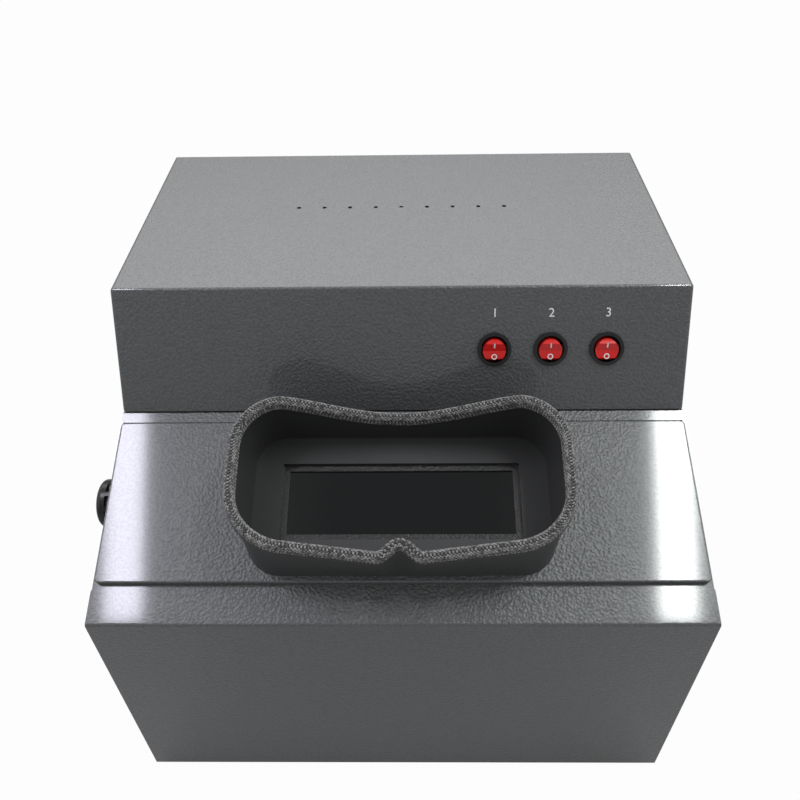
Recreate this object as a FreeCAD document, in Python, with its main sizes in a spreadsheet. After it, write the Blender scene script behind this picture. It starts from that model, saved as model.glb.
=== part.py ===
"""Bench-top ultraviolet analyzer: a folded steel dark box with a lamp head.

A sloped lid carries the viewing hood and hinges under the head. A clamp knob on the
left side holds the lid's stay, and three round rockers switch the two pairs of lamps
and the row of white lights. Millimetres, +Z up, +X to the user's right, +Y to the
back. Everything is drawn about the middle of the body and stands about the middle of the
whole part's footprint, knob and screw heads included, on the plane of the feet.
"""
import FreeCAD, Part
import math
import os
import Sketcher

# Every size that can be set by itself, in millimetres, degrees, shares or counts.
SIZES = {
    # Body
    "body_width": 390.0,
    "body_depth": 374.0,
    "front_height": 199.5,
    "slope_angle": 21.1,
    "head_top_share": 0.53262,
    "head_floor_share": 0.63476,
    "head_height": 76.5,
    "foot_height": 8.0,
    "sheet": 1.5,
    "bend_radius": 2.5,
    "fit_gap": 0.3,
    "cut_beyond": 1.0,
    "casing_lip": 10.0,
    "strip_length": 23.5,
    "strip_corner": 3.0,
    "return_flange": 16.0,
    # Lid, measured down the slope from the neck
    "lid_start": 10.4,
    "lid_end_gap": 2.0,
    "lid_side_gap": 2.0,
    "lid_raise": 4.0,
    "lid_corner": 3.3,
    "lid_bend": 1.2,
    "lid_travel": 55.0,
    "opening_start": 8.0,
    "opening_inset": 7.2,
    # Viewing hood, on the lid
    "hood_width": 197.0,
    "hood_back_gap": 11.3,
    "hood_front_gap": 4.2,
    "hood_corner": 23.0,
    "hood_wall": 2.6,
    "hood_floor": 3.0,
    "hood_height": 53.0,
    "hood_side_flare": 4.1,
    "hood_end_flare": 3.3,
    "hood_rim_corner": 31.0,
    "front_corner_share": 0.41,
    "hood_bow": 7.0,
    "brow_dip": 23.0,
    "brow_width": 164.0,
    "brow_fullness": 0.55,
    "nose_width": 27.0,
    "nose_depth": 8.0,
    "rim_side": 1.7,
    "rim_reach": 8.5,
    "rim_top": 1.7,
    # Window, each piece set in from the one that holds it
    "window_shift": 0.7,
    "frame_side_inset": 6.5,
    "frame_end_inset": 10.5,
    "frame_lip": 2.0,
    "glass_side_inset": 12.0,
    "glass_end_inset": 9.0,
    "glass_thick": 3.0,
    "window_lip": 6.4,
    "aperture_margin": 4.25,
    # Lid hinges
    "axis_start": 14.5,
    "axis_drop": 0.3,
    "hinge_edge": 75.0,
    "hinge_width": 40.0,
    "hinge_tongue": 15.4,
    "knuckle_radius": 2.3,
    "pin_radius": 1.25,
    "pin_clearance": 0.3,
    "leaf_thick": 1.2,
    "leaf_length": 14.0,
    "bracket_drop": 8.0,
    "bracket_back": 6.4,
    # Lid stay and its clamp knob, placed from the lid's axis
    "knob_forward": 11.18,
    "knob_drop": 63.71,
    "knob_radius": 17.5,
    "knob_grip": 20.5,
    "knob_collar": 3.0,
    "knob_collar_radius": 9.0,
    "knob_round": 3.5,
    "flute_count": 10.0,
    "flute_radius": 4.2,
    "flute_centre": 19.0,
    "flute_length": 14.0,
    "insert_radius": 5.0,
    "insert_length": 16.0,
    "bolt_radius": 3.0,
    "bolt_clearance": 0.3,
    "bolt_head_radius": 7.0,
    "bolt_head": 3.0,
    "washer_radius": 8.0,
    "washer_thick": 1.0,
    "stay_inset": 9.5,
    "stay_thick": 2.0,
    "stay_half_width": 8.0,
    "stay_foot": 13.0,
    # Switches, on the head's front
    "switch_edge": 55.6,
    "switch_pitch": 38.0,
    "switch_height": 42.9,
    "bezel_radius": 11.5,
    "bezel_thick": 2.0,
    "barrel_radius": 10.0,
    "barrel_depth": 18.0,
    "barrel_bore": 9.2,
    "bore_depth": 13.0,
    "rocker_radius": 7.8,
    "rocker_pivot": 6.0,
    "rocker_tilt": 9.0,
    "rocker_crown": 8.6,
    "trunnion_radius": 1.2,
    "trunnion_reach": 9.2,
    "boss_half_width": 2.5,
    "boss_gap": 0.4,
    "boss_sink": 0.1,
    "tab_length": 7.0,
    "tab_spread": 5.0,
    "tab_half_width": 3.2,
    "tab_half_thick": 0.4,
    # Vents in the head's top
    "vent_radius": 1.6,
    "vent_pitch": 19.7,
    "vent_count": 9.0,
    "vent_back": 90.6,
    # Lamps in the head, their rows measured from the back
    "lamp_x": -38.0,
    "lamp_254_back": 161.0,
    "lamp_365_back": 61.0,
    "tube_radius": 8.0,
    "tube_length": 212.0,
    "tube_rise": 19.0,
    "tube_pitch": 24.0,
    "cap_length": 7.0,
    "cap_step": 0.5,
    "prong_radius": 1.15,
    "prong_length": 6.0,
    "prong_spread": 2.4,
    "holder_thick": 8.0,
    "holder_width": 16.0,
    "holder_height": 28.0,
    "holder_back": 1.5,
    "holder_slot_width": 3.2,
    "holder_slot_height": 8.4,
    "filter_end_gap": 6.0,
    "filter_depth": 50.0,
    "filter_thick": 2.5,
    "filter_border": 5.0,
    "clip_thick": 1.5,
    "reflector_half": 26.5,
    "reflector_foot": 7.5,
    "reflector_skin": 0.8,
    "reflector_leg": 22.0,
    "reflector_roof": 16.0,
    "reflector_height": 32.0,
    "reflector_spread": 0.4,
    # White lights
    "led_back": 111.0,
    "led_board_end_gap": 8.0,
    "led_board_depth": 20.0,
    "led_board_thick": 1.6,
    "led_standoff": 3.0,
    "led_columns": 9.0,
    "led_end_gap": 26.0,
    "led_row_gap": 6.0,
    "led_radius": 2.5,
    "led_length": 6.1,
    "led_tip_share": 0.4,
    "spacer_radius": 1.6,
    "spacer_end_inset": 3.0,
    "spacer_side_inset": 1.8,
    # Electrical boxes in the head
    "ballast_gap": 18.7,
    "ballast_edge": 8.2,
    "ballast_depth": 40.0,
    "ballast_height": 28.0,
    "driver_inset": 30.0,
    "driver_depth": 22.0,
    "driver_height": 20.0,
    "terminal_edge": 7.2,
    "terminal_width": 18.0,
    "terminal_length": 56.0,
    "terminal_height": 18.0,
    # Back of the head
    "inlet_edge": 55.0,
    "inlet_rise": 39.0,
    "inlet_width": 50.0,
    "inlet_height": 33.0,
    "inlet_flange": 2.5,
    "inlet_body_width": 28.0,
    "inlet_body_height": 28.0,
    "inlet_body_depth": 22.0,
    "socket_width": 23.8,
    "socket_height": 15.8,
    "socket_depth": 15.5,
    "socket_rise": 4.0,
    "blade_spread": 7.0,
    "blade_stagger": 2.0,
    "blade_half_width": 1.0,
    "blade_half_height": 2.0,
    "blade_sink": 6.0,
    "drawer_width": 22.0,
    "drawer_height": 7.0,
    "drawer_drop": 9.5,
    "louvre_count": 9.0,
    "louvre_pitch": 12.0,
    "louvre_width": 3.2,
    "louvre_height": 34.0,
    # Feet and fasteners
    "foot_side_inset": 30.0,
    "foot_end_inset": 32.0,
    "foot_radius": 11.0,
    "foot_toe": 9.0,
    "screw_radius": 1.75,
    "screw_head_radius": 3.8,
    "screw_top_radius": 2.9,
    "screw_head": 2.0,
    "screw_clearance": 0.2,
    "front_screw_edge": 39.0,
    "inlet_screw_edge": 4.9,
    "hood_screw_inset": 7.6,
    "hood_screw_bite": 1.8,
    "hood_hole_depth": 2.1,
    "pan_flange": 15.0,
    "pan_flange_front_share": 0.95,
    "pan_flange_back": 18.0,
}

# Shares of the head's depth or height at which the cover's screws stand.
HEAD_SCREW_SHARES = (0.15, 0.5, 0.85)
REAR_SCREW_SHARES = (0.45, 0.8)

# Sizes that follow from the ones above.
WORKED = {
    # Body
    "half_width": "Sizes.body_width / 2",
    "back_y": "Sizes.body_depth / 2",
    "front_y": "-Sizes.body_depth / 2",
    "head_top_depth": "Sizes.body_depth * Sizes.head_top_share",
    "head_floor_depth": "Sizes.body_depth * Sizes.head_floor_share",
    "neck_y": "back_y - head_floor_depth",
    "sheet_drop": "Sizes.sheet / cos(Sizes.slope_angle)",
    "front_top_z": "Sizes.foot_height + Sizes.front_height",
    "neck_z": "front_top_z + (Sizes.body_depth - head_floor_depth) * tan(Sizes.slope_angle)",
    "slope_length": "(Sizes.body_depth - head_floor_depth) / cos(Sizes.slope_angle)",
    "top_z": "neck_z + Sizes.head_height",
    "head_lean": "head_floor_depth - head_top_depth",
    "head_angle": "atan(Sizes.head_height / head_lean)",
    "head_skin": "Sizes.sheet / sin(head_angle)",
    "base_z": "Sizes.foot_height + Sizes.sheet",
    "casing_top_z": "neck_z - sheet_drop",
    "pan_z": "casing_top_z + Sizes.sheet",
    "rear_face_y": "back_y - Sizes.fit_gap",
    "inner_half": "half_width - Sizes.sheet - Sizes.fit_gap",
    "foot_x": "half_width - Sizes.foot_side_inset",
    "foot_y": "back_y - Sizes.foot_end_inset",
    # Lid and hood, down the slope from the neck
    "lid_half": "half_width - Sizes.lid_side_gap",
    "lid_end": "slope_length - Sizes.strip_length - Sizes.lid_end_gap",
    "opening_end": "lid_end - Sizes.opening_inset",
    "lid_under": "Sizes.lid_raise - Sizes.sheet",
    "lid_seat": "Sizes.fit_gap - Sizes.sheet",
    "hood_start": "Sizes.lid_start + Sizes.hood_back_gap",
    "hood_end": "lid_end - Sizes.hood_front_gap",
    "hood_front_corner": "(hood_end - hood_start) * Sizes.front_corner_share",
    # Window
    "window_middle": "(hood_start + hood_end) / 2 - Sizes.window_shift",
    "frame_width": "Sizes.hood_width - 2 * Sizes.frame_side_inset",
    "frame_length": "hood_end - hood_start - 2 * Sizes.frame_end_inset",
    "glass_width": "frame_width - 2 * Sizes.glass_side_inset",
    "glass_length": "frame_length - 2 * Sizes.glass_end_inset",
    "window_width": "glass_width - 2 * Sizes.window_lip",
    "window_length": "glass_length - 2 * Sizes.window_lip",
    "aperture_width": "window_width + 2 * Sizes.aperture_margin",
    "aperture_length": "window_length + 2 * Sizes.aperture_margin",
    # Hinges, stay and knob
    "hinge_spread": "Sizes.body_width - 2 * Sizes.hinge_edge",
    "axis_y": "neck_y - Sizes.axis_start * cos(Sizes.slope_angle)"
              " + Sizes.axis_drop * sin(Sizes.slope_angle)",
    "axis_z": "neck_z - Sizes.axis_start * sin(Sizes.slope_angle)"
              " - Sizes.axis_drop * cos(Sizes.slope_angle)",
    "knob_x": "-(half_width + Sizes.washer_thick + Sizes.fit_gap)",
    "knob_y": "axis_y - Sizes.knob_forward",
    "knob_z": "axis_z - Sizes.knob_drop",
    "stay_radius": "sqrt(Sizes.knob_forward^2 + Sizes.knob_drop^2)",
    "stay_angle": "atan2(Sizes.knob_drop; Sizes.knob_forward) - Sizes.slope_angle * 1deg",
    "stay_x": "-(half_width - Sizes.sheet - Sizes.stay_inset)",
    # Head
    "switch_first": "half_width - Sizes.switch_edge - 2 * Sizes.switch_pitch",
    "vent_y": "back_y - Sizes.vent_back",
    "lamp_254_y": "back_y - Sizes.lamp_254_back",
    "lamp_365_y": "back_y - Sizes.lamp_365_back",
    "filter_width": "Sizes.tube_length - 2 * Sizes.filter_end_gap",
    "led_y": "back_y - Sizes.led_back",
    "led_board_width": "Sizes.tube_length - 2 * Sizes.led_board_end_gap",
    "led_pitch": "(Sizes.tube_length - 2 * Sizes.led_end_gap) / (Sizes.led_columns - 1)",
    "ballast_x": "Sizes.lamp_x + Sizes.tube_length / 2 + Sizes.fit_gap + Sizes.holder_thick"
                 " + Sizes.ballast_gap",
    "ballast_width": "inner_half - Sizes.ballast_edge - ballast_x",
    "driver_width": "ballast_width - Sizes.driver_inset",
    "terminal_x": "-inner_half + Sizes.terminal_edge",
    "inlet_x": "half_width - Sizes.inlet_edge",
    "inlet_z": "pan_z + Sizes.inlet_rise",
    # From the middle of the body to the middle of everything, which is the origin
    "origin_x": "(Sizes.washer_thick + Sizes.fit_gap + Sizes.knob_collar + Sizes.knob_grip"
                " - Sizes.screw_head) / 2",
    "origin_y": "-(Sizes.inlet_flange + Sizes.screw_head - Sizes.fit_gap) / 2",
}

doc = FreeCAD.newDocument("uv_analyzer")
parts = []


def make_sheets():
    """Driving sizes in one sheet, the sizes worked out from them in another."""
    sizes = doc.addObject("Spreadsheet::Sheet", "Sizes")
    for row, (name, amount) in enumerate(SIZES.items(), 1):
        sizes.set(f"A{row}", str(amount))
        sizes.setAlias(f"A{row}", name)
    doc.recompute()
    worked = doc.addObject("Spreadsheet::Sheet", "Worked")
    for row, (name, formula) in enumerate(WORKED.items(), 1):
        worked.setAlias(f"A{row}", name)
        worked.set(f"A{row}", "=" + formula)
    doc.recompute()
    return sizes


sheet_of_sizes = make_sheets()


def amount(expression):
    """The present value of an expression on the two sheets."""
    return float(sheet_of_sizes.evalExpression(expression))


def keep(obj, label):
    """Name a finished sub-part, which is written to its own file."""
    obj.Label = label
    parts.append(obj)
    return obj


SLOPE_FRAME = ("Worked.neck_y", "Worked.neck_z", "Sizes.slope_angle")
HEAD_FRAME = ("Worked.neck_y", "Worked.neck_z", "Worked.head_angle")


def lean(obj, frame, prop="Placement"):
    """Turn a frame about X and carry it to a point (y, z): the slope or the head's front."""
    y, z, angle = frame
    start = FreeCAD.Placement(FreeCAD.Vector(), FreeCAD.Rotation(FreeCAD.Vector(1, 0, 0), 1))
    setattr(obj, prop, start)
    obj.setExpression(f"{prop}.Base.y", y)
    obj.setExpression(f"{prop}.Base.z", z)
    obj.setExpression(f"{prop}.Rotation.Angle", angle)


def frame_placement(frame):
    """The same frame as a placement, for shapes made outside a body."""
    y, z, angle = (amount(part) for part in frame)
    turn = FreeCAD.Rotation(FreeCAD.Vector(1, 0, 0), angle)
    return FreeCAD.Placement(FreeCAD.Vector(0, y, z), turn)


def new_body(label, frame=None):
    body = doc.addObject("PartDesign::Body", label)
    middle_y = "Worked.origin_y"
    if frame:
        lean(body, frame)
        middle_y = f"{frame[0]} + {middle_y}"
    body.setExpression("Placement.Base.x", "Worked.origin_x")
    body.setExpression("Placement.Base.y", middle_y)
    return keep(body, label)


def rect(left, right, low, high):
    return [(left, low), (right, low), (right, high), (left, high)]


def disc(across, up, radius):
    return (across, up, radius)


def pin_down(sketch, geometry, point, across, up):
    """Fix one point of a sketch at a pair of expressions from the sketch's origin."""
    for kind, expression in (("DistanceX", across), ("DistanceY", up)):
        limit = Sketcher.Constraint(kind, -1, 1, geometry, point, amount(expression))
        index = sketch.addConstraint(limit)
        sketch.setExpression(f"Constraints[{index}]", expression)


def draw(body, plane, loops, lift="0", frame=None):
    """A sketch of closed outlines on one of the body's own planes, lifted off it."""
    sketch = body.newObject("Sketcher::SketchObject", body.Label + "_sketch")
    base = next(f for f in body.Origin.OriginFeatures if f.Role == plane)
    sketch.AttachmentSupport = [(base, "")]
    sketch.MapMode = "FlatFace"
    if frame:
        lean(sketch, frame, "AttachmentOffset")
    else:
        sketch.setExpression("AttachmentOffset.Base.z", lift)
    for loop in loops:
        if isinstance(loop, tuple):
            across, up, radius = loop
            centre = FreeCAD.Vector(amount(across), amount(up), 0)
            circle = Part.Circle(centre, FreeCAD.Vector(0, 0, 1), amount(radius))
            ring = sketch.addGeometry(circle, False)
            pin_down(sketch, ring, 3, across, up)
            index = sketch.addConstraint(Sketcher.Constraint("Radius", ring, amount(radius)))
            sketch.setExpression(f"Constraints[{index}]", radius)
            continue
        spots = [FreeCAD.Vector(amount(u), amount(v), 0) for u, v in loop]
        lines = [sketch.addGeometry(Part.LineSegment(a, b), False)
                 for a, b in zip(spots, spots[1:] + spots[:1])]
        for line, following in zip(lines, lines[1:] + lines[:1]):
            sketch.addConstraint(Sketcher.Constraint("Coincident", line, 2, following, 1))
        for line, (across, up) in zip(lines, loop):
            pin_down(sketch, line, 1, across, up)
    return sketch


def pad(body, sketch, length, symmetric=False):
    feature = body.newObject("PartDesign::Pad", body.Label + "_pad")
    feature.Profile = sketch
    feature.setExpression("Length", length)
    feature.Midplane = symmetric
    return feature


def pocket(body, sketch, length, symmetric=False, backwards=False):
    feature = body.newObject("PartDesign::Pocket", body.Label + "_pocket")
    feature.Profile = sketch
    feature.setExpression("Length", length)
    feature.Midplane = symmetric
    feature.Reversed = backwards
    return feature


def round_edges(body, radius, wanted):
    """Fillet the edges of the body so far whose centre and direction pass a test."""
    doc.recompute()
    tip = body.Tip
    names = []
    for number, edge in enumerate(tip.Shape.Edges, 1):
        if edge.Curve.TypeId != "Part::GeomLine":
            continue
        along = edge.Vertexes[-1].Point - edge.Vertexes[0].Point
        if wanted(edge.CenterOfMass, along.normalize()):
            names.append(f"Edge{number}")
    feature = body.newObject("PartDesign::Fillet", body.Label + "_fillet")
    feature.Base = (tip, names)
    feature.setExpression("Radius", radius)
    return feature


def slab(label, loops, low, high, frame=None):
    """A plate or block: outlines in X and Y, from one height to another."""
    body = new_body(label, frame)
    pad(body, draw(body, "XY_Plane", loops, low), f"({high}) - ({low})")
    return body


def bar(label, loops, left, right, frame=None):
    """A piece with one section in Y and Z all along X."""
    body = new_body(label, frame)
    pad(body, draw(body, "YZ_Plane", loops, left), f"({right}) - ({left})")
    return body


def solid(label, shape, place=None):
    """A sub-part whose shape comes straight from the modelling functions."""
    feature = doc.addObject("Part::Feature", label)
    feature.Shape = shape
    middle = at(amount("Worked.origin_x"), amount("Worked.origin_y"), 0)
    if place:
        middle = middle.multiply(place)
    feature.Placement = middle.multiply(shape.Placement)
    return keep(feature, label)


def at(x, y, z, axis=(0, 0, 1)):
    """A place at a point, its own Z turned to an axis."""
    turn = FreeCAD.Rotation(FreeCAD.Vector(0, 0, 1), FreeCAD.Vector(*axis))
    return FreeCAD.Placement(FreeCAD.Vector(x, y, z), turn)


def screw_group(label, places, grip, frame=None):
    """Pan-head screws, one at each place: seat at the place, head along its Z."""
    head = Part.makeCone(amount("Sizes.screw_head_radius"), amount("Sizes.screw_top_radius"),
                         amount("Sizes.screw_head"))
    shank = Part.makeCylinder(amount("Sizes.screw_radius"), grip, FreeCAD.Vector(0, 0, -grip))
    screws = []
    for place in places:
        screw = head.fuse(shank).removeSplitter()
        screw.Placement = place
        screws.append(screw)
    return solid(label, Part.makeCompound(screws), frame and frame_placement(frame))


def screw_hole(x, y):
    return disc(x, y, "Sizes.screw_radius + Sizes.screw_clearance")


def make_casing():
    """Floor, back and two sides in one folded and welded shell, with lips all round.

    The slope's opening is wider beside the hinges, where the lid's rear edge swings down.
    """
    body = new_body("casing")
    top = "Worked.casing_top_z"
    outer = [
        ("Worked.back_y", "Worked.base_z"),
        ("Worked.front_y + Sizes.sheet", "Worked.base_z"),
        ("Worked.front_y + Sizes.sheet",
         "Worked.front_top_z + Sizes.sheet * tan(Sizes.slope_angle) - Worked.sheet_drop"),
        ("Worked.neck_y", top),
        ("Worked.back_y", top),
    ]
    inner = [
        ("Worked.back_y - Sizes.sheet", "Worked.base_z + Sizes.sheet"),
        ("Worked.front_y + 2 * Sizes.sheet", "Worked.base_z + Sizes.sheet"),
        ("Worked.front_y + 2 * Sizes.sheet",
         "Worked.front_top_z + 2 * Sizes.sheet * tan(Sizes.slope_angle)"
         " - 2 * Worked.sheet_drop"),
        ("Worked.neck_y + (Worked.sheet_drop - Sizes.sheet) / tan(Sizes.slope_angle)",
         f"{top} - Sizes.sheet"),
        ("Worked.back_y - Sizes.sheet", f"{top} - Sizes.sheet"),
    ]
    pad(body, draw(body, "YZ_Plane", [outer]), "Sizes.body_width", True)
    cavity = draw(body, "YZ_Plane", [inner])
    pocket(body, cavity, "Sizes.body_width - 2 * Sizes.sheet", True)
    clear_half = "Worked.half_width - Sizes.casing_lip"
    full_half = "(Worked.half_width - Sizes.sheet)"
    swing_end = "-(Sizes.axis_start + Sizes.knuckle_radius)"
    slope_hole = [(f"-({clear_half})", "-Worked.opening_end"), (clear_half, "-Worked.opening_end"),
                  (clear_half, swing_end), (full_half, swing_end),
                  (full_half, "-Sizes.opening_start"), (f"-{full_half}", "-Sizes.opening_start"),
                  (f"-{full_half}", swing_end), (f"-({clear_half})", swing_end)]
    pocket(body, draw(body, "XY_Plane", [slope_hole], frame=SLOPE_FRAME),
           "8 * Sizes.sheet", True)
    front_hole = rect(f"-({clear_half})", clear_half,
                      "Worked.base_z + Sizes.casing_lip",
                      "Worked.front_top_z - Sizes.casing_lip")
    pocket(body, draw(body, "XZ_Plane", [front_hole], "-Worked.front_y"),
           "8 * Sizes.sheet", True)
    top_hole = rect(f"-({clear_half})", clear_half,
                    "Worked.neck_y + Sizes.casing_lip", "Worked.back_y - Sizes.casing_lip")
    pocket(body, draw(body, "XY_Plane", [top_hole], top), "4 * Sizes.sheet", True)
    stay_hole = disc("Worked.knob_y", "Worked.knob_z", "Sizes.bolt_radius + Sizes.bolt_clearance")
    pocket(body, draw(body, "YZ_Plane", [stay_hole], "-Worked.half_width"),
           "4 * Sizes.sheet", True)
    floor_holes = [screw_hole(x, y) for x, y in foot_spots() + front_screw_spots()]
    pocket(body, draw(body, "XY_Plane", floor_holes, "Worked.base_z"), "4 * Sizes.sheet", True)


def foot_spots():
    return [(f"{side}Worked.foot_x", f"{end}Worked.foot_y") for end in "-+" for side in "-+"]


def front_screw_spots():
    middle = "Worked.front_y + Sizes.return_flange / 2"
    return [(f"{k} * (Worked.half_width - Sizes.front_screw_edge)", middle) for k in (-1, 0, 1)]


def make_front_cover():
    """The front, folded back over the slope above and under the floor below."""
    body = new_body("front_cover")
    far_y = "Worked.front_y + Sizes.strip_length * cos(Sizes.slope_angle)"
    far_z = "Worked.front_top_z + Sizes.strip_length * sin(Sizes.slope_angle)"
    skin_y = "Sizes.sheet * sin(Sizes.slope_angle)"
    skin_z = "Sizes.sheet * cos(Sizes.slope_angle)"
    outline = [
        ("Worked.front_y + Sizes.return_flange", "Sizes.foot_height"),
        ("Worked.front_y", "Sizes.foot_height"),
        ("Worked.front_y", "Worked.front_top_z"),
        (far_y, far_z),
        (f"{far_y} + {skin_y}", f"{far_z} - {skin_z}"),
        ("Worked.front_y + Sizes.sheet",
         "Worked.front_top_z + Sizes.sheet * tan(Sizes.slope_angle) - Worked.sheet_drop"),
        ("Worked.front_y + Sizes.sheet", "Worked.base_z"),
        ("Worked.front_y + Sizes.return_flange", "Worked.base_z"),
    ]
    pad(body, draw(body, "YZ_Plane", [outline]), "Sizes.body_width", True)
    front = amount("Worked.front_y")
    strip_end = amount(far_y)
    front_top = amount("Worked.front_top_z")
    round_edges(body, "Sizes.bend_radius",
                lambda c, d: abs(d.x) > 0.9 and abs(c.y - front) < 0.01)
    round_edges(body, "Sizes.strip_corner",
                lambda c, d: abs(d.x) < 0.1 and c.y > strip_end - 1 and c.z > front_top)
    holes = [screw_hole(x, y) for x, y in front_screw_spots()]
    pocket(body, draw(body, "XY_Plane", holes, "Worked.base_z"), "4 * Sizes.sheet", True)


def make_head_cover():
    """Top, leaning front and two sides of the lamp head, folded from one sheet."""
    body = new_body("head_cover")
    outer = [
        ("Worked.back_y", "Worked.neck_z"),
        ("Worked.neck_y", "Worked.neck_z"),
        ("Worked.neck_y + Worked.head_lean", "Worked.top_z"),
        ("Worked.back_y", "Worked.top_z"),
    ]
    under = "Sizes.head_height - Sizes.sheet"
    inner = [
        ("Worked.back_y + Sizes.sheet", "Worked.neck_z - Sizes.sheet"),
        ("Worked.neck_y + Worked.head_skin - Sizes.sheet / tan(Worked.head_angle)",
         "Worked.neck_z - Sizes.sheet"),
        (f"Worked.neck_y + Worked.head_skin + ({under}) / tan(Worked.head_angle)",
         "Worked.top_z - Sizes.sheet"),
        ("Worked.back_y + Sizes.sheet", "Worked.top_z - Sizes.sheet"),
    ]
    pad(body, draw(body, "YZ_Plane", [outer]), "Sizes.body_width", True)
    neck, bend_y = amount("Worked.neck_y"), amount("Worked.neck_y + Worked.head_lean")
    side, top = amount("Worked.half_width"), amount("Worked.top_z")
    back = amount("Worked.back_y")

    def folded(c, d):
        bend = abs(d.x) > 0.9 and abs(c.y - bend_y) < 0.01
        front_side = abs(c.x) > side - 0.01 and neck < c.y < bend_y
        top_side = abs(c.x) > side - 0.01 and c.z > top - 0.01 and c.y < back
        return bend or front_side or top_side

    round_edges(body, "Sizes.bend_radius", folded)
    pocket(body, draw(body, "YZ_Plane", [inner]), "Sizes.body_width - 2 * Sizes.sheet", True)
    holes = [disc(f"(Worked.switch_first + {k} * Sizes.switch_pitch)", "Sizes.switch_height",
                  "Sizes.barrel_radius + Sizes.screw_clearance") for k in range(3)]
    pocket(body, draw(body, "XY_Plane", holes, frame=HEAD_FRAME), "8 * Sizes.sheet", True)
    first = "Sizes.vent_pitch * (Sizes.vent_count - 1) / 2"
    vents = [disc(f"({k} * Sizes.vent_pitch - {first})", "Worked.vent_y", "Sizes.vent_radius")
             for k in range(int(SIZES["vent_count"]))]
    pocket(body, draw(body, "XY_Plane", vents, "Worked.top_z"), "4 * Sizes.sheet", True)
    holes = [screw_hole(y, z) for y, z in head_screw_spots() + rear_screw_spots()]
    pocket(body, draw(body, "YZ_Plane", holes), "Sizes.body_width + 2 * Sizes.cut_beyond", True)


def head_screw_spots():
    """Where the cover is screwed to the pan's side flanges, as (y, z)."""
    middle = "Worked.pan_z + Sizes.pan_flange / 2"
    return [(f"Worked.back_y - {share} * Worked.head_top_depth", middle)
            for share in HEAD_SCREW_SHARES]


def rear_screw_spots():
    """Where the cover is screwed to the rear panel's side flanges, as (y, z)."""
    middle = "Worked.rear_face_y - Sizes.pan_flange / 2"
    return [(middle, f"Worked.pan_z + {share} * Sizes.head_height")
            for share in REAR_SCREW_SHARES]


def make_pan():
    """The lamp pan: closes the dark box above and carries everything in the head."""
    front = "Worked.neck_y + Worked.head_skin + Sizes.fit_gap"
    rear = "Worked.rear_face_y - Sizes.sheet"
    half_view = "(Worked.filter_width / 2 - Sizes.filter_border)"
    deep_view = "(Sizes.filter_depth / 2 - Sizes.filter_border)"
    loops = [rect("-Worked.inner_half", "Worked.inner_half", front, rear)]
    for row in ("Worked.lamp_254_y", "Worked.lamp_365_y"):
        loops.append(rect(f"Sizes.lamp_x - {half_view}", f"Sizes.lamp_x + {half_view}",
                          f"{row} - {deep_view}", f"{row} + {deep_view}"))
    led_half = "(Worked.led_pitch * (Sizes.led_columns - 1) / 2 + 2 * Sizes.led_radius)"
    led_deep = "(Sizes.led_row_gap / 2 + Sizes.led_radius + 2 * Sizes.fit_gap)"
    loops.append(rect(f"Sizes.lamp_x - {led_half}", f"Sizes.lamp_x + {led_half}",
                      f"Worked.led_y - {led_deep}", f"Worked.led_y + {led_deep}"))
    body = slab("lamp_pan", loops, "Worked.casing_top_z", "Worked.pan_z")
    reach = "Worked.back_y - Sizes.pan_flange_front_share * Worked.head_top_depth"
    stop = "Worked.back_y - Sizes.pan_flange_back"
    inside = "Worked.inner_half - Sizes.sheet"
    flanges = [rect("-Worked.inner_half", f"-({inside})", reach, stop),
               rect(inside, "Worked.inner_half", reach, stop)]
    pad(body, draw(body, "XY_Plane", flanges, "Worked.pan_z"), "Sizes.pan_flange")
    holes = [screw_hole(y, z) for y, z in head_screw_spots()]
    pocket(body, draw(body, "YZ_Plane", holes), "Sizes.body_width + 2 * Sizes.cut_beyond", True)


def make_rear_panel():
    """Back of the head: two side flanges, the cooling louvres and the inlet's hole."""
    body = new_body("rear_panel")
    low, high = "Worked.neck_z + Sizes.fit_gap", "Worked.top_z - Sizes.sheet - Sizes.fit_gap"
    half = "Worked.inner_half"
    loops = [rect(f"-{half}", half, low, high)]
    hole_x, hole_z = "Sizes.inlet_body_width / 2", "Sizes.inlet_body_height / 2"
    loops.append(rect(f"Worked.inlet_x - {hole_x} - Sizes.fit_gap",
                      f"Worked.inlet_x + {hole_x} + Sizes.fit_gap",
                      f"Worked.inlet_z - {hole_z} - Sizes.fit_gap",
                      f"Worked.inlet_z + {hole_z} + Sizes.fit_gap"))
    first = "Sizes.louvre_pitch * (Sizes.louvre_count - 1) / 2"
    for k in range(int(SIZES["louvre_count"])):
        middle = f"Sizes.lamp_x + {k} * Sizes.louvre_pitch - {first}"
        loops.append(rect(f"{middle} - Sizes.louvre_width / 2",
                          f"{middle} + Sizes.louvre_width / 2",
                          "Worked.inlet_z - Sizes.louvre_height / 2",
                          "Worked.inlet_z + Sizes.louvre_height / 2"))
    loops += [disc(x, z, "Sizes.screw_radius + Sizes.screw_clearance")
              for x, z in inlet_screw_spots()]
    pad(body, draw(body, "XZ_Plane", loops, "-Worked.rear_face_y"), "Sizes.sheet")
    inside = f"{half} - Sizes.sheet"
    flanges = [rect(f"-{half}", f"-({inside})", low, high), rect(inside, half, low, high)]
    pad(body, draw(body, "XZ_Plane", flanges, "-Worked.rear_face_y"), "Sizes.pan_flange")
    holes = [screw_hole(y, z) for y, z in rear_screw_spots()]
    pocket(body, draw(body, "YZ_Plane", holes), "Sizes.body_width + 2 * Sizes.cut_beyond", True)


def inlet_screw_spots():
    reach = "Sizes.inlet_width / 2 - Sizes.inlet_screw_edge"
    return [(f"Worked.inlet_x {sign} ({reach})", "Worked.inlet_z") for sign in "-+"]


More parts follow.
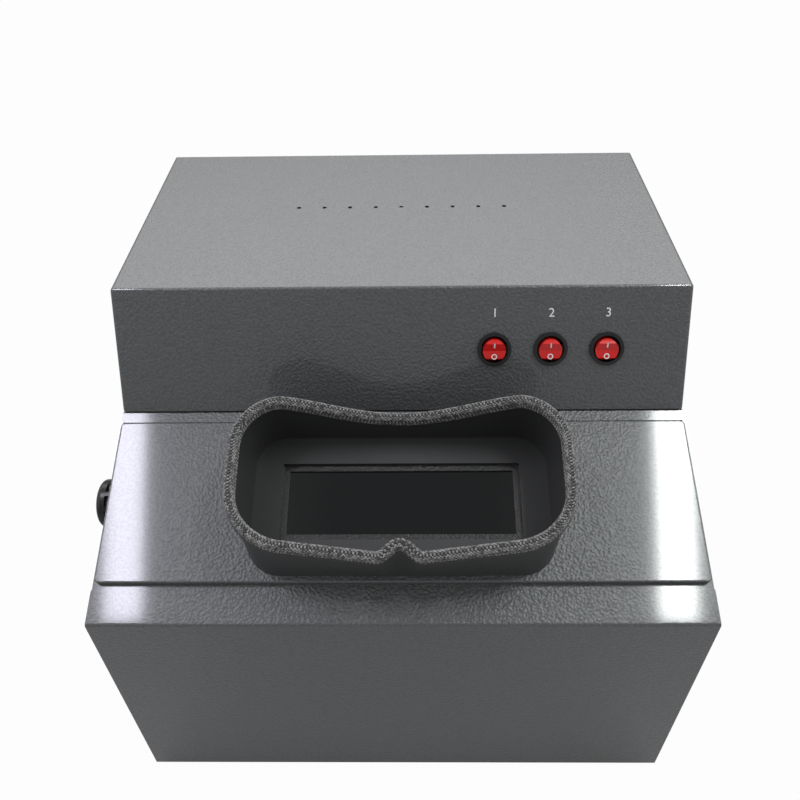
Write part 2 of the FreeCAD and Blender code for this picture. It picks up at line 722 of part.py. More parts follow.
def make_mains_inlet():
    """Mains inlet with its three blades, and the fuse drawer below the socket."""
    body = new_body("mains_inlet")
    x, z = "Worked.inlet_x", "Worked.inlet_z"
    flange = rect(f"{x} - Sizes.inlet_width / 2", f"{x} + Sizes.inlet_width / 2",
                  f"{z} - Sizes.inlet_height / 2", f"{z} + Sizes.inlet_height / 2")
    face = "-Worked.rear_face_y - Sizes.inlet_flange"
    holes = [disc(u, v, "Sizes.screw_radius + Sizes.screw_clearance")
             for u, v in inlet_screw_spots()]
    pad(body, draw(body, "XZ_Plane", [flange] + holes, face), "Sizes.inlet_flange")
    shell = rect(f"{x} - Sizes.inlet_body_width / 2", f"{x} + Sizes.inlet_body_width / 2",
                 f"{z} - Sizes.inlet_body_height / 2", f"{z} + Sizes.inlet_body_height / 2")
    pad(body, draw(body, "XZ_Plane", [shell], face),
        "Sizes.inlet_flange + Sizes.inlet_body_depth")
    low = f"{z} + Sizes.socket_rise - Sizes.socket_height / 2"
    high = f"{z} + Sizes.socket_rise + Sizes.socket_height / 2"
    chamfer = "Sizes.socket_height / 4"
    left, right = f"{x} - Sizes.socket_width / 2", f"{x} + Sizes.socket_width / 2"
    socket = [(left, low), (right, low), (right, f"{high} - {chamfer}"),
              (f"{right} - {chamfer}", high), (f"{left} + {chamfer}", high),
              (left, f"{high} - {chamfer}")]
    pocket(body, draw(body, "XZ_Plane", [socket], face), "Sizes.socket_depth", backwards=True)
    slot = rect(f"{x} - Sizes.drawer_width / 2", f"{x} + Sizes.drawer_width / 2",
                f"{z} - Sizes.drawer_drop - Sizes.drawer_height / 2",
                f"{z} - Sizes.drawer_drop + Sizes.drawer_height / 2")
    pocket(body, draw(body, "XZ_Plane", [slot], face), "Sizes.socket_depth", backwards=True)
    blades = []
    for across, up in ((-1, -1), (0, 1), (1, -1)):
        middle_x = f"{x} + ({across}) * Sizes.blade_spread"
        middle_z = f"{z} + Sizes.socket_rise + ({up}) * Sizes.blade_stagger"
        blades.append(rect(f"{middle_x} - Sizes.blade_half_width",
                           f"{middle_x} + Sizes.blade_half_width",
                           f"{middle_z} - Sizes.blade_half_height",
                           f"{middle_z} + Sizes.blade_half_height"))
    pad(body, draw(body, "XZ_Plane", blades, f"{face} + Sizes.blade_sink"),
        "Sizes.socket_depth - Sizes.blade_sink + Sizes.fit_gap")
    drawer = new_body("fuse_drawer")
    inset = "Sizes.fit_gap / 2"
    front = rect(f"{x} - Sizes.drawer_width / 2 + {inset}",
                 f"{x} + Sizes.drawer_width / 2 - {inset}",
                 f"{z} - Sizes.drawer_drop - Sizes.drawer_height / 2 + {inset}",
                 f"{z} - Sizes.drawer_drop + Sizes.drawer_height / 2 - {inset}")
    pad(drawer, draw(drawer, "XZ_Plane", [front], f"{face} - Sizes.sheet / 2"),
        "Sizes.socket_depth")


def make_lid():
    """The lid pan: a raised panel with rounded corners, open at the window."""
    body = new_body("viewing_lid", SLOPE_FRAME)
    outline = rect("-Worked.lid_half", "Worked.lid_half", "-Worked.lid_end", "-Sizes.lid_start")
    pad(body, draw(body, "XY_Plane", [outline], "Worked.lid_seat"),
        "Sizes.lid_raise - Worked.lid_seat")
    raised = amount("Sizes.lid_raise")
    round_edges(body, "Sizes.lid_corner", lambda c, d: abs(d.z) > 0.9)
    doc.recompute()
    rim = body.Tip
    names = [f"Edge{n}" for n, edge in enumerate(rim.Shape.Edges, 1)
             if edge.BoundBox.ZMin > raised - 0.01]
    top_round = body.newObject("PartDesign::Fillet", "viewing_lid_fillet")
    top_round.Base = (rim, names)
    top_round.setExpression("Radius", "Sizes.lid_bend")
    inner = rect("-(Worked.lid_half - Sizes.sheet)", "Worked.lid_half - Sizes.sheet",
                 "-(Worked.lid_end - Sizes.sheet)", "-(Sizes.lid_start + Sizes.sheet)")
    pocket(body, draw(body, "XY_Plane", [inner], "Worked.lid_seat - Sizes.cut_beyond"),
           "Worked.lid_under - Worked.lid_seat + Sizes.cut_beyond", backwards=True)
    holes = [window_rect("Worked.window_width", "Worked.window_length")]
    holes += [screw_hole(u, v) for u, v in hood_screw_spots()]
    pocket(body, draw(body, "XY_Plane", holes, "Sizes.lid_raise"), "4 * Sizes.sheet", True)


def window_rect(width, length, gap="0"):
    """A rectangle about the middle of the window, grown all round by a gap."""
    across = f"({width} / 2 + {gap})"
    down = f"({length} / 2 + {gap})"
    return rect(f"-{across}", across,
                f"-Worked.window_middle - {down}", f"-Worked.window_middle + {down}")


def hood_screw_spots():
    across = "(Worked.frame_width / 2 - Sizes.hood_screw_inset)"
    down = "(Worked.frame_length / 2 - Sizes.hood_screw_inset)"
    return [(f"{side}{across}", f"-Worked.window_middle {end} {down}")
            for side in "-+" for end in "-+"]


def make_window():
    """Dark glass under the lid, held up by a stepped frame."""
    low = "Worked.lid_under - Sizes.glass_thick"
    slab("window_glass", [window_rect("Worked.glass_width", "Worked.glass_length")],
         low, "Worked.lid_under", SLOPE_FRAME)
    outer = window_rect("Worked.frame_width", "Worked.frame_length")
    opening = window_rect("Worked.window_width", "Worked.window_length")
    holes = [screw_hole(u, v) for u, v in hood_screw_spots()]
    frame = slab("window_frame", [outer, opening] + holes,
                 f"{low} - Sizes.frame_lip", "Worked.lid_under", SLOPE_FRAME)
    step = window_rect("Worked.glass_width", "Worked.glass_length", "Sizes.fit_gap")
    pocket(frame, draw(frame, "XY_Plane", [step], low),
           "Sizes.glass_thick + Sizes.cut_beyond", backwards=True)


def hood_outline(level, grow, half, start, end, corner, front_corner, bow, nose):
    """One closed outline of the hood: a rounded oblong, pinched inward for the nose.

    grow moves the whole outline outward. The lower side, nearest the user, has the pinch.
    On either side of it that side falls back by the angle bow, into the front corner.
    """
    right, high = half + grow, -start + grow
    radius, front_radius = corner + grow, front_corner + grow
    nose_half = amount("Sizes.nose_width") / 2
    reach = nose_half - grow / 2
    tilt = math.radians(bow)
    low = -end - grow / math.cos(tilt) + (reach - nose_half) * math.tan(tilt)
    front_x = right - front_radius
    front_y = low + (front_x - reach) * math.tan(tilt) + front_radius / math.cos(tilt)

    def spot(x, y):
        return FreeCAD.Vector(x, y, level)

    def arc(side, x, y, size, first, last):
        """An arc about (x, y) between two angles, on the right, or mirrored for side -1."""
        turns = [math.radians(angle) for angle in (first, (first + last) / 2, last)]
        points = [spot(side * (x + size * math.cos(t)), y + size * math.sin(t)) for t in turns]
        return Part.Arc(*points).toShape()

    pinch_points = [spot(-reach, low), spot(-reach / 2, low + nose / 2), spot(0, low + nose),
                    spot(reach / 2, low + nose / 2), spot(reach, low)]
    if nose:
        pinch = Part.BSplineCurve()
        fall = reach * math.tan(tilt)
        pinch.interpolate(Points=pinch_points, InitialTangent=FreeCAD.Vector(reach, -fall, 0),
                          FinalTangent=FreeCAD.Vector(reach, fall, 0))
    else:
        pinch = Part.LineSegment(pinch_points[0], pinch_points[-1])
    touch_x = front_x + front_radius * math.sin(tilt)
    touch_y = front_y - front_radius * math.cos(tilt)
    back_x, back_y = right - radius, high - radius
    edges = [
        Part.LineSegment(spot(-touch_x, touch_y), pinch_points[0]).toShape(),
        pinch.toShape(),
        Part.LineSegment(pinch_points[-1], spot(touch_x, touch_y)).toShape(),
        arc(1, front_x, front_y, front_radius, bow - 90, 0),
        Part.LineSegment(spot(right, front_y), spot(right, back_y)).toShape(),
        arc(1, back_x, back_y, radius, 0, 90),
        Part.LineSegment(spot(back_x, high), spot(-back_x, high)).toShape(),
        arc(-1, back_x, back_y, radius, 90, 0),
        Part.LineSegment(spot(-right, back_y), spot(-right, front_y)).toShape(),
        arc(-1, front_x, front_y, front_radius, 0, bow - 90),
    ]
    return Part.Wire(edges)


def hood_loft(grow, extra=0.0):
    """The hood's outer form moved outward by grow, and carried on upward by extra."""
    height = amount("Sizes.hood_height")
    share = (height + extra) / height
    half, start = amount("Sizes.hood_width") / 2, amount("Worked.hood_start")
    end, corner = amount("Worked.hood_end"), amount("Sizes.hood_corner")
    side, ends = amount("Sizes.hood_side_flare"), amount("Sizes.hood_end_flare")
    rim_corner = amount("Sizes.hood_rim_corner")
    front_corner = amount("Worked.hood_front_corner")
    nose, bow = amount("Sizes.nose_depth"), amount("Sizes.hood_bow")
    foot = hood_outline(0, grow, half, start, end, corner, corner, 0, 0)
    rim = hood_outline(height + extra, grow, half + side * share, start - ends * share,
                       end + ends * share, corner + (rim_corner - corner) * share,
                       corner + (front_corner - corner) * share, bow * share, nose * share)
    return Part.makeLoft([foot, rim], True, True)


def brow_block(shift, above):
    """What lies above, or below, the rim line: level, with a dip for the brow at the top."""
    height = amount("Sizes.hood_height") + shift
    half, dip = amount("Sizes.brow_width") / 2, amount("Sizes.brow_dip")
    middle = -(amount("Worked.hood_start") + amount("Worked.hood_end")) / 2
    wide = amount("Sizes.body_width")
    far = height + wide if above else -wide
    ends = [FreeCAD.Vector(-half, middle, height), FreeCAD.Vector(half, middle, height)]
    curve = Part.BSplineCurve()
    shoulder = height - dip * amount("Sizes.brow_fullness")
    points = [ends[0], FreeCAD.Vector(-half / 2, middle, shoulder),
              FreeCAD.Vector(0, middle, height - dip),
              FreeCAD.Vector(half / 2, middle, shoulder), ends[1]]
    flat = FreeCAD.Vector(half, 0, 0)
    curve.interpolate(Points=points, InitialTangent=flat, FinalTangent=flat)
    corners = [ends[1], FreeCAD.Vector(wide, middle, height), FreeCAD.Vector(wide, middle, far),
               FreeCAD.Vector(-wide, middle, far), FreeCAD.Vector(-wide, middle, height), ends[0]]
    outline = [curve.toShape()]
    outline += [Part.LineSegment(a, b).toShape() for a, b in zip(corners, corners[1:])]
    top_side = Part.Face(Part.Wire(outline)).extrude(FreeCAD.Vector(0, wide, 0))
    low_z, high_z = (height, far) if above else (far, height)
    lower_side = Part.makeBox(2 * wide, wide, high_z - low_z,
                              FreeCAD.Vector(-wide, middle - wide, low_z))
    return top_side.fuse(lower_side)


def make_hood():
    """Viewing hood: a flared shell with its own floor, and the soft trim on its rim."""
    wall = amount("Sizes.hood_wall")
    floor = amount("Sizes.hood_floor")
    beyond = amount("Sizes.cut_beyond")
    inside = hood_loft(-wall, beyond)
    wide = amount("Sizes.body_width")
    above_floor = Part.makeBox(2 * wide, 2 * wide, wide, FreeCAD.Vector(-wide, -1.5 * wide, floor))
    shell = hood_loft(0).cut(inside.common(above_floor))
    shell = shell.cut(brow_block(0, True))
    width, length = amount("Worked.aperture_width"), amount("Worked.aperture_length")
    middle = amount("Worked.window_middle")
    hole = Part.makeBox(width, length, 3 * floor,
                        FreeCAD.Vector(-width / 2, -middle - length / 2, -floor))
    shell = shell.cut(hole)
    hole_radius = amount("Sizes.screw_radius + Sizes.screw_clearance")
    hole_depth = amount("Sizes.hood_hole_depth")
    for u, v in hood_screw_spots():
        spot = FreeCAD.Vector(amount(u), amount(v), -beyond)
        shell = shell.cut(Part.makeCylinder(hole_radius, hole_depth + beyond, spot))
    place = frame_placement(SLOPE_FRAME)
    raise_up = FreeCAD.Placement(FreeCAD.Vector(0, 0, amount("Sizes.lid_raise")),
                                 FreeCAD.Rotation())
    solid("hood_shell", shell, place.multiply(raise_up))
    side, top = amount("Sizes.rim_side"), amount("Sizes.rim_top")
    reach = amount("Sizes.rim_reach")
    band = hood_loft(side, top).cut(hood_loft(-wall - side, top + beyond))
    band = band.cut(brow_block(top, True)).cut(brow_block(-reach, False))
    solid("hood_rim", band.cut(shell), place.multiply(raise_up))


def make_seal():
    """Foam strip under the lid's sides and lower edge, which keeps the light out."""
    far = "(Worked.lid_half - Sizes.sheet - Sizes.fit_gap)"
    near = "(Worked.half_width - Sizes.casing_lip + 2 * Sizes.fit_gap)"
    low = "-(Worked.lid_end - Sizes.sheet - Sizes.fit_gap)"
    bridge = "-(Worked.opening_end + 2 * Sizes.fit_gap)"
    high = "-(Sizes.axis_start + 2 * Sizes.knuckle_radius)"
    loop = [(f"-{far}", high), (f"-{far}", low), (far, low), (far, high),
            (near, high), (near, bridge), (f"-{near}", bridge), (f"-{near}", high)]
    slab("lid_seal", [loop], "Worked.lid_seat", "Worked.lid_under", SLOPE_FRAME)


def make_hinge(side, sign):
    """One concealed lid hinge: cranked bracket under the neck, leaf under the lid, pin."""
    middle = f"({sign} * Worked.hinge_spread / 2)"
    left, right = f"{middle} - Sizes.hinge_width / 2", f"{middle} + Sizes.hinge_width / 2"
    axis = "-Sizes.axis_start"
    level = "-Sizes.axis_drop"
    low = "-Sizes.bracket_drop"
    thick = "Sizes.leaf_thick"
    seat = "-2 * Sizes.sheet"
    back = "-Sizes.bracket_back"
    web = f"{axis} - Sizes.knuckle_radius"
    crank = [
        (web, level), (web, low),
        (f"{back} + {thick}", low), (f"{back} + {thick}", f"{seat} - {thick}"),
        ("-Sizes.sheet", f"{seat} - {thick}"), ("-Sizes.sheet", seat),
        (back, seat), (back, f"{low} + {thick}"),
        (f"{web} + {thick}", f"{low} + {thick}"), (f"{web} + {thick}", level),
    ]
    bracket = bar(f"hinge_bracket_{side}", [crank], left, right, SLOPE_FRAME)
    pad(bracket, draw(bracket, "YZ_Plane", [disc(axis, level, "Sizes.knuckle_radius")], left),
        "Sizes.hinge_width")
    gap = "(Sizes.hinge_tongue + 2 * Sizes.fit_gap)"
    reach = "(Sizes.knuckle_radius + Sizes.fit_gap)"
    notch = rect(f"{axis} - {reach}", f"{axis} + {reach}",
                 f"{level} - {reach}", f"{level} + {reach}")
    pocket(bracket, draw(bracket, "YZ_Plane", [notch], middle), gap, True)
    pocket(bracket, draw(bracket, "YZ_Plane", [disc(axis, level, "Sizes.pin_radius")], middle),
           "Sizes.hinge_width + 2 * Sizes.cut_beyond", True)

    under = "Worked.lid_under"
    near = f"{axis} - {reach}"
    plate = rect(left, right, f"{near} - Sizes.leaf_length", near)
    leaf = slab(f"hinge_leaf_{side}", [plate], f"{under} - {thick}", under, SLOPE_FRAME)
    tongue = rect(f"{middle} - Sizes.hinge_tongue / 2", f"{middle} + Sizes.hinge_tongue / 2",
                  near, axis)
    pad(leaf, draw(leaf, "XY_Plane", [tongue], f"{under} - {thick}"), thick)
    pad(leaf, draw(leaf, "YZ_Plane", [disc(axis, level, "Sizes.knuckle_radius")], middle),
        "Sizes.hinge_tongue", True)
    bore = disc(axis, level, "Sizes.pin_radius + Sizes.pin_clearance")
    pocket(leaf, draw(leaf, "YZ_Plane", [bore], middle), "Sizes.hinge_width", True)


def make_hinge_pins():
    length, radius = amount("Sizes.hinge_width"), amount("Sizes.pin_radius")
    pins = []
    for sign in (-1, 1):
        start = FreeCAD.Vector(sign * amount("Worked.hinge_spread") / 2 - length / 2,
                               -amount("Sizes.axis_start"), -amount("Sizes.axis_drop"))
        pins.append(Part.makeCylinder(radius, length, start, FreeCAD.Vector(1, 0, 0)))
    solid("hinge_pins", Part.makeCompound(pins), frame_placement(SLOPE_FRAME))


def make_stay():
    """Slotted quadrant that swings with the lid, and the bolt and spacer it slides on."""
    radius, half = amount("Worked.stay_radius"), amount("Sizes.stay_half_width")
    thick = amount("Sizes.stay_thick")
    first, travel = amount("Worked.stay_angle"), amount("Sizes.lid_travel")
    slot = amount("Sizes.bolt_radius + Sizes.fit_gap")
    left = amount("Worked.stay_x")
    axis = FreeCAD.Vector(left, -amount("Sizes.axis_start"), -amount("Sizes.axis_drop"))
    margin = math.degrees((slot + half) / radius)

    def sector(inner, outer, start, sweep):
        """A flat ring sector about the hinge, angles taken down from the lid's line."""
        solids = [Part.makeCylinder(r, thick, FreeCAD.Vector(), FreeCAD.Vector(0, 0, 1), sweep)
                  for r in (outer, inner)]
        ring = solids[0].cut(solids[1])
        ring.rotate(FreeCAD.Vector(), FreeCAD.Vector(0, 0, 1), 180 + start)
        ring.rotate(FreeCAD.Vector(), FreeCAD.Vector(1, 0, 0), 90)
        ring.rotate(FreeCAD.Vector(), FreeCAD.Vector(0, 0, 1), 90)
        ring.translate(axis)
        return ring

    plate = sector(radius - half, radius + half, 0, first + travel + margin)
    under = amount("Worked.lid_under")
    near, far = axis.y - radius + half, axis.y - radius - half
    web = Part.makeBox(thick, near - far, under - axis.z,
                       FreeCAD.Vector(left, far, axis.z))
    foot = Part.makeBox(amount("Sizes.stay_foot"), near - far, thick,
                        FreeCAD.Vector(left, far, under - thick))
    plate = plate.fuse([web, foot])
    plate = plate.cut(sector(radius - slot, radius + slot, first, travel))
    beyond = amount("Sizes.cut_beyond")
    for angle in (first, first + travel):
        turn = math.radians(angle)
        end = FreeCAD.Vector(left - beyond, axis.y - radius * math.cos(turn),
                             axis.z - radius * math.sin(turn))
        plate = plate.cut(Part.makeCylinder(slot, thick + 2 * beyond, end,
                                            FreeCAD.Vector(1, 0, 0)))
    solid("lid_stay", plate.removeSplitter(), frame_placement(SLOPE_FRAME))

    hole = "Sizes.bolt_radius + Sizes.bolt_clearance"
    y, z = "Worked.knob_y", "Worked.knob_z"
    wall = "-(Worked.half_width - Sizes.sheet)"
    bar("stay_spacer", [disc(y, z, "2 * Sizes.bolt_radius"), disc(y, z, hole)],
        wall, "Worked.stay_x - Sizes.fit_gap")
    bar("stay_washer", [disc(y, z, "Sizes.washer_radius"), disc(y, z, hole)],
        "-(Worked.half_width + Sizes.washer_thick)", "-Worked.half_width")
    head = "Worked.stay_x + Sizes.stay_thick + Sizes.fit_gap"
    bolt = bar("stay_bolt", [disc(y, z, "Sizes.bolt_head_radius")],
               head, f"{head} + Sizes.bolt_head")
    tip = "Worked.knob_x - Sizes.insert_length + Sizes.sheet"
    pad(bolt, draw(bolt, "YZ_Plane", [disc(y, z, "Sizes.bolt_radius")], tip),
        f"{head} - ({tip}) + Sizes.bolt_head / 2")


def knob_body(label):
    """A body whose own Z runs out of the left side, at the clamp."""
    body = doc.addObject("PartDesign::Body", label)
    out = FreeCAD.Rotation(FreeCAD.Vector(0, 1, 0), -90)
    body.Placement = FreeCAD.Placement(FreeCAD.Vector(), out)
    body.setExpression("Placement.Base.x", "Worked.knob_x + Worked.origin_x")
    body.setExpression("Placement.Base.y", "Worked.knob_y + Worked.origin_y")
    body.setExpression("Placement.Base.z", "Worked.knob_z")
    return keep(body, label)


def make_knob():
    """Fluted clamp knob with a smooth outer rim, moulded round a brass insert."""
    knob = knob_body("side_knob")
    pad(knob, draw(knob, "XY_Plane", [disc("0", "0", "Sizes.knob_collar_radius")]),
        "Sizes.knob_collar")
    grip = draw(knob, "XY_Plane", [disc("0", "0", "Sizes.knob_radius")], "Sizes.knob_collar")
    pad(knob, grip, "Sizes.knob_grip")
    doc.recompute()
    tip = knob.Tip
    top = amount("Sizes.knob_collar + Sizes.knob_grip")
    names = [f"Edge{n}" for n, edge in enumerate(tip.Shape.Edges, 1)
             if edge.BoundBox.ZMin > top - 0.01]
    soften = knob.newObject("PartDesign::Fillet", "side_knob_fillet")
    soften.Base = (tip, names)
    soften.setExpression("Radius", "Sizes.knob_round")
    flute = draw(knob, "XY_Plane", [disc("Sizes.flute_centre", "0", "Sizes.flute_radius")],
                 "Sizes.knob_collar - Sizes.cut_beyond")
    cut = pocket(knob, flute, "Sizes.flute_length + Sizes.cut_beyond", backwards=True)
    doc.recompute()
    flutes = knob.newObject("PartDesign::PolarPattern", "side_knob_flutes")
    flutes.Originals = [cut]
    axis = next(f for f in knob.Origin.OriginFeatures if f.Role == "Z_Axis")
    flutes.Axis = (axis, [""])
    flutes.Angle = 360
    flutes.setExpression("Occurrences", "Sizes.flute_count")
    knob.Tip = flutes
    bore = draw(knob, "XY_Plane", [disc("0", "0", "Sizes.insert_radius")])
    pocket(knob, bore, "Sizes.insert_length", backwards=True)
    insert = knob_body("knob_insert")
    ring = [disc("0", "0", "Sizes.insert_radius"),
            disc("0", "0", "Sizes.bolt_radius + Sizes.bolt_clearance")]
    pad(insert, draw(insert, "XY_Plane", ring), "Sizes.insert_length")


def make_switch(number):
    """Round switch body with its bezel, and the rocker on its two trunnions."""
    x = amount(f"Worked.switch_first + {number - 1} * Sizes.switch_pitch")
    y = amount("Sizes.switch_height")
    body = new_body(f"switch_body_{number}", HEAD_FRAME)
    centre = (f"(Worked.switch_first + {number - 1} * Sizes.switch_pitch)", "Sizes.switch_height")
    pad(body, draw(body, "XY_Plane", [disc(*centre, "Sizes.bezel_radius")]),
        "Sizes.bezel_thick")
    barrel = draw(body, "XY_Plane", [disc(*centre, "Sizes.barrel_radius")],
                  "-Sizes.barrel_depth")
    pad(body, barrel, "Sizes.barrel_depth + Sizes.bezel_thick / 2")
    bore = draw(body, "XY_Plane", [disc(*centre, "Sizes.barrel_bore")],
                "Sizes.bezel_thick - Sizes.bore_depth")
    pocket(body, bore, "Sizes.bore_depth + Sizes.cut_beyond", backwards=True)
    pivot = "Sizes.bezel_thick - Sizes.rocker_pivot"
    near = "(Sizes.rocker_radius + Sizes.boss_gap)"
    far = "(Sizes.barrel_bore + Sizes.boss_sink)"
    half = "Sizes.boss_half_width"
    bosses = [rect(f"{centre[0]} + {start}", f"{centre[0]} + {end}",
                   f"{centre[1]} - {half}", f"{centre[1]} + {half}")
              for start, end in ((near, far), (f"-1 * {far}", f"-1 * {near}"))]
    pad(body, draw(body, "XY_Plane", bosses, f"{pivot} - {half}"), f"2 * {half}")
    hole = draw(body, "YZ_Plane",
                [disc(centre[1], pivot, "Sizes.trunnion_radius + Sizes.pin_clearance")],
                centre[0])
    pocket(body, hole, "2 * (Sizes.trunnion_reach + Sizes.fit_gap)", True)
    tabs = [rect(f"{centre[0]} - Sizes.tab_half_width", f"{centre[0]} + Sizes.tab_half_width",
                 f"{centre[1]} + ({k}) * Sizes.tab_spread - Sizes.tab_half_thick",
                 f"{centre[1]} + ({k}) * Sizes.tab_spread + Sizes.tab_half_thick")
            for k in (-1, 1)]
    pad(body, draw(body, "XY_Plane", tabs, "-Sizes.barrel_depth - Sizes.tab_length"),
        "Sizes.tab_length + 1")

    pivot_z = amount(pivot)
    radius, crown = amount("Sizes.rocker_radius"), amount("Sizes.rocker_crown")
    tilt = amount("Sizes.rocker_tilt")
    reach = 2 * radius
    post = Part.makeCylinder(radius, 3 * crown, FreeCAD.Vector(0, 0, -crown / 2))
    drum = Part.makeCylinder(crown, reach, FreeCAD.Vector(-radius, 0, 0),
                             FreeCAD.Vector(1, 0, 0))
    rocker = post.common(drum)
    for sign in (-1, 1):
        plane = Part.makeBox(2 * reach, reach, reach,
                             FreeCAD.Vector(-reach, 0 if sign > 0 else -reach, 0))
        plane.rotate(FreeCAD.Vector(), FreeCAD.Vector(1, 0, 0), sign * tilt)
        dip = amount("Sizes.rocker_pivot")
        plane.translate(FreeCAD.Vector(0, 0, dip))
        rocker = rocker.cut(plane)
    ends = amount("Sizes.trunnion_reach")
    pin = Part.makeCylinder(amount("Sizes.trunnion_radius"), 2 * ends,
                            FreeCAD.Vector(-ends, 0, 0), FreeCAD.Vector(1, 0, 0))
    rocker = rocker.fuse(pin).removeSplitter()
    rocker.rotate(FreeCAD.Vector(), FreeCAD.Vector(1, 0, 0), tilt)
    rocker.translate(FreeCAD.Vector(x, y, pivot_z))
    solid(f"rocker_{number}", rocker, frame_placement(HEAD_FRAME))


def make_lamp_set(name, row):
    """Filter glass and its retaining clip, reflector, two tubes and their holders."""
    x, floor = "Sizes.lamp_x", "Worked.pan_z"
    half, deep = "Worked.filter_width / 2", "Sizes.filter_depth / 2"
    pane = rect(f"{x} - {half}", f"{x} + {half}", f"{row} - {deep}", f"{row} + {deep}")
    border = "Sizes.filter_border"
    hole = rect(f"{x} - {half} + {border}", f"{x} + {half} - {border}",
                f"{row} - {deep} + {border}", f"{row} + {deep} - {border}")
    glass_top = f"{floor} + Sizes.filter_thick"
    slab(f"filter_{name}", [pane], floor, glass_top)
    wide = "(Sizes.reflector_half - Sizes.fit_gap)"
    clip = rect(f"{x} - {half}", f"{x} + {half}", f"{row} - {wide}", f"{row} + {wide}")
    slab(f"filter_clip_{name}", [clip, hole], glass_top, f"{glass_top} + Sizes.clip_thick")

    def profile(grow, foot):
        """One side of the trough from its foot to the roof, moved outward by grow."""
        wall = f"(Sizes.reflector_half + {grow})"
        roof = f"(Sizes.reflector_roof + {grow} * Sizes.reflector_spread)"
        knee = f"{floor} + Sizes.reflector_leg + {grow} * Sizes.reflector_spread"
        return [(wall, f"{floor} + {foot}"), (wall, knee),
                (roof, f"{floor} + Sizes.reflector_height + {grow}")]

    skin = "Sizes.reflector_skin"
    toe = f"(Sizes.reflector_half + {skin} + Sizes.reflector_foot)"
    right = ([(across, up) for across, up in profile("0", "0")][::-1]
             + [(toe, floor), (toe, f"{floor} + {skin}")] + profile(skin, skin))
    left = [(f"-{across}", up) for across, up in reversed(right)]
    trough = [(f"{row} + ({across})", up) for across, up in right + left]
    bar(f"reflector_{name}", [trough], f"{x} - {half}", f"{x} + {half}")

    centre_x, centre_z = amount(x), amount(f"{floor} + Sizes.tube_rise")
    length, radius = amount("Sizes.tube_length"), amount("Sizes.tube_radius")
    cap, prong = amount("Sizes.cap_length"), amount("Sizes.prong_length")
    spread = amount("Sizes.prong_spread")
    along = FreeCAD.Vector(1, 0, 0)
    for tag, sign in (("front", -1), ("rear", 1)):
        centre_y = amount(f"{row} + {sign} * Sizes.tube_pitch / 2")
        start = FreeCAD.Vector(centre_x - length / 2, centre_y, centre_z)
        tube = Part.makeCylinder(radius - amount("Sizes.cap_step"), length, start, along)
        for shift in (0, length - cap):
            tube = tube.fuse(Part.makeCylinder(radius, cap, start + along * shift, along))
        for drop in (-spread, spread):
            foot = start + FreeCAD.Vector(-prong, 0, drop)
            blade = Part.makeCylinder(amount("Sizes.prong_radius"), length + 2 * prong,
                                      foot, along)
            tube = tube.fuse(blade)
        solid(f"lamp_{name}_{tag}", tube.removeSplitter())

    thick, width = amount("Sizes.holder_thick"), amount("Sizes.holder_width")
    height, base = amount("Sizes.holder_height"), amount(floor)
    gap, back = amount("Sizes.fit_gap"), amount("Sizes.holder_back")
    slot_width = amount("Sizes.holder_slot_width")
    slot_height = amount("Sizes.holder_slot_height")
    holders = []
    for sign in (-1, 1):
        for end in (-1, 1):
            face = centre_x + end * (length / 2 + gap)
            left_x = face if end > 0 else face - thick
            middle = amount(f"{row} + {sign} * Sizes.tube_pitch / 2")
            block = Part.makeBox(thick, width, height,
                                 FreeCAD.Vector(left_x, middle - width / 2, base))
            slot = Part.makeBox(thick, slot_width, slot_height,
                                FreeCAD.Vector(left_x - end * back, middle - slot_width / 2,
                                               centre_z - slot_height / 2))
            holders.append(block.cut(slot))
    solid(f"lamp_holders_{name}", Part.makeCompound(holders))


def make_white_lights():
    """Board with two rows of round white lights looking down through the pan."""
    x, y, floor = "Sizes.lamp_x", "Worked.led_y", "Worked.pan_z"
    board_z = f"{floor} + Sizes.led_standoff"
    half, deep = "Worked.led_board_width / 2", "Sizes.led_board_depth / 2"
    slab("led_board", [rect(f"{x} - {half}", f"{x} + {half}", f"{y} - {deep}", f"{y} + {deep}")],
         board_z, f"{board_z} + Sizes.led_board_thick")
    pitch, count = amount("Worked.led_pitch"), int(amount("Sizes.led_columns"))
    radius, length = amount("Sizes.led_radius"), amount("Sizes.led_length")
    tip = radius * amount("Sizes.led_tip_share")
    top = amount(board_z)
    dots = []
    for column in range(count):
        for side in (-1, 1):
            spot = FreeCAD.Vector(amount(x) + (column - (count - 1) / 2) * pitch,
                                  amount(f"{y} + {side} * Sizes.led_row_gap / 2"), top - length)
            lens = Part.makeCone(tip, radius, radius, spot - FreeCAD.Vector(0, 0, radius))
            dots.append(Part.makeCylinder(radius, length, spot).fuse(lens).removeSplitter())
    solid("white_lights", Part.makeCompound(dots))
    posts = []
    for side in (-1, 1):
        for end in (-1, 1):
            spot = FreeCAD.Vector(amount(f"{x} + {side} * ({half} - Sizes.spacer_end_inset)"),
                                  amount(f"{y} + {end} * ({deep} - Sizes.spacer_side_inset)"),
                                  amount(floor))
            posts.append(Part.makeCylinder(amount("Sizes.spacer_radius"),
                                           amount("Sizes.led_standoff"), spot))
    solid("board_spacers", Part.makeCompound(posts))


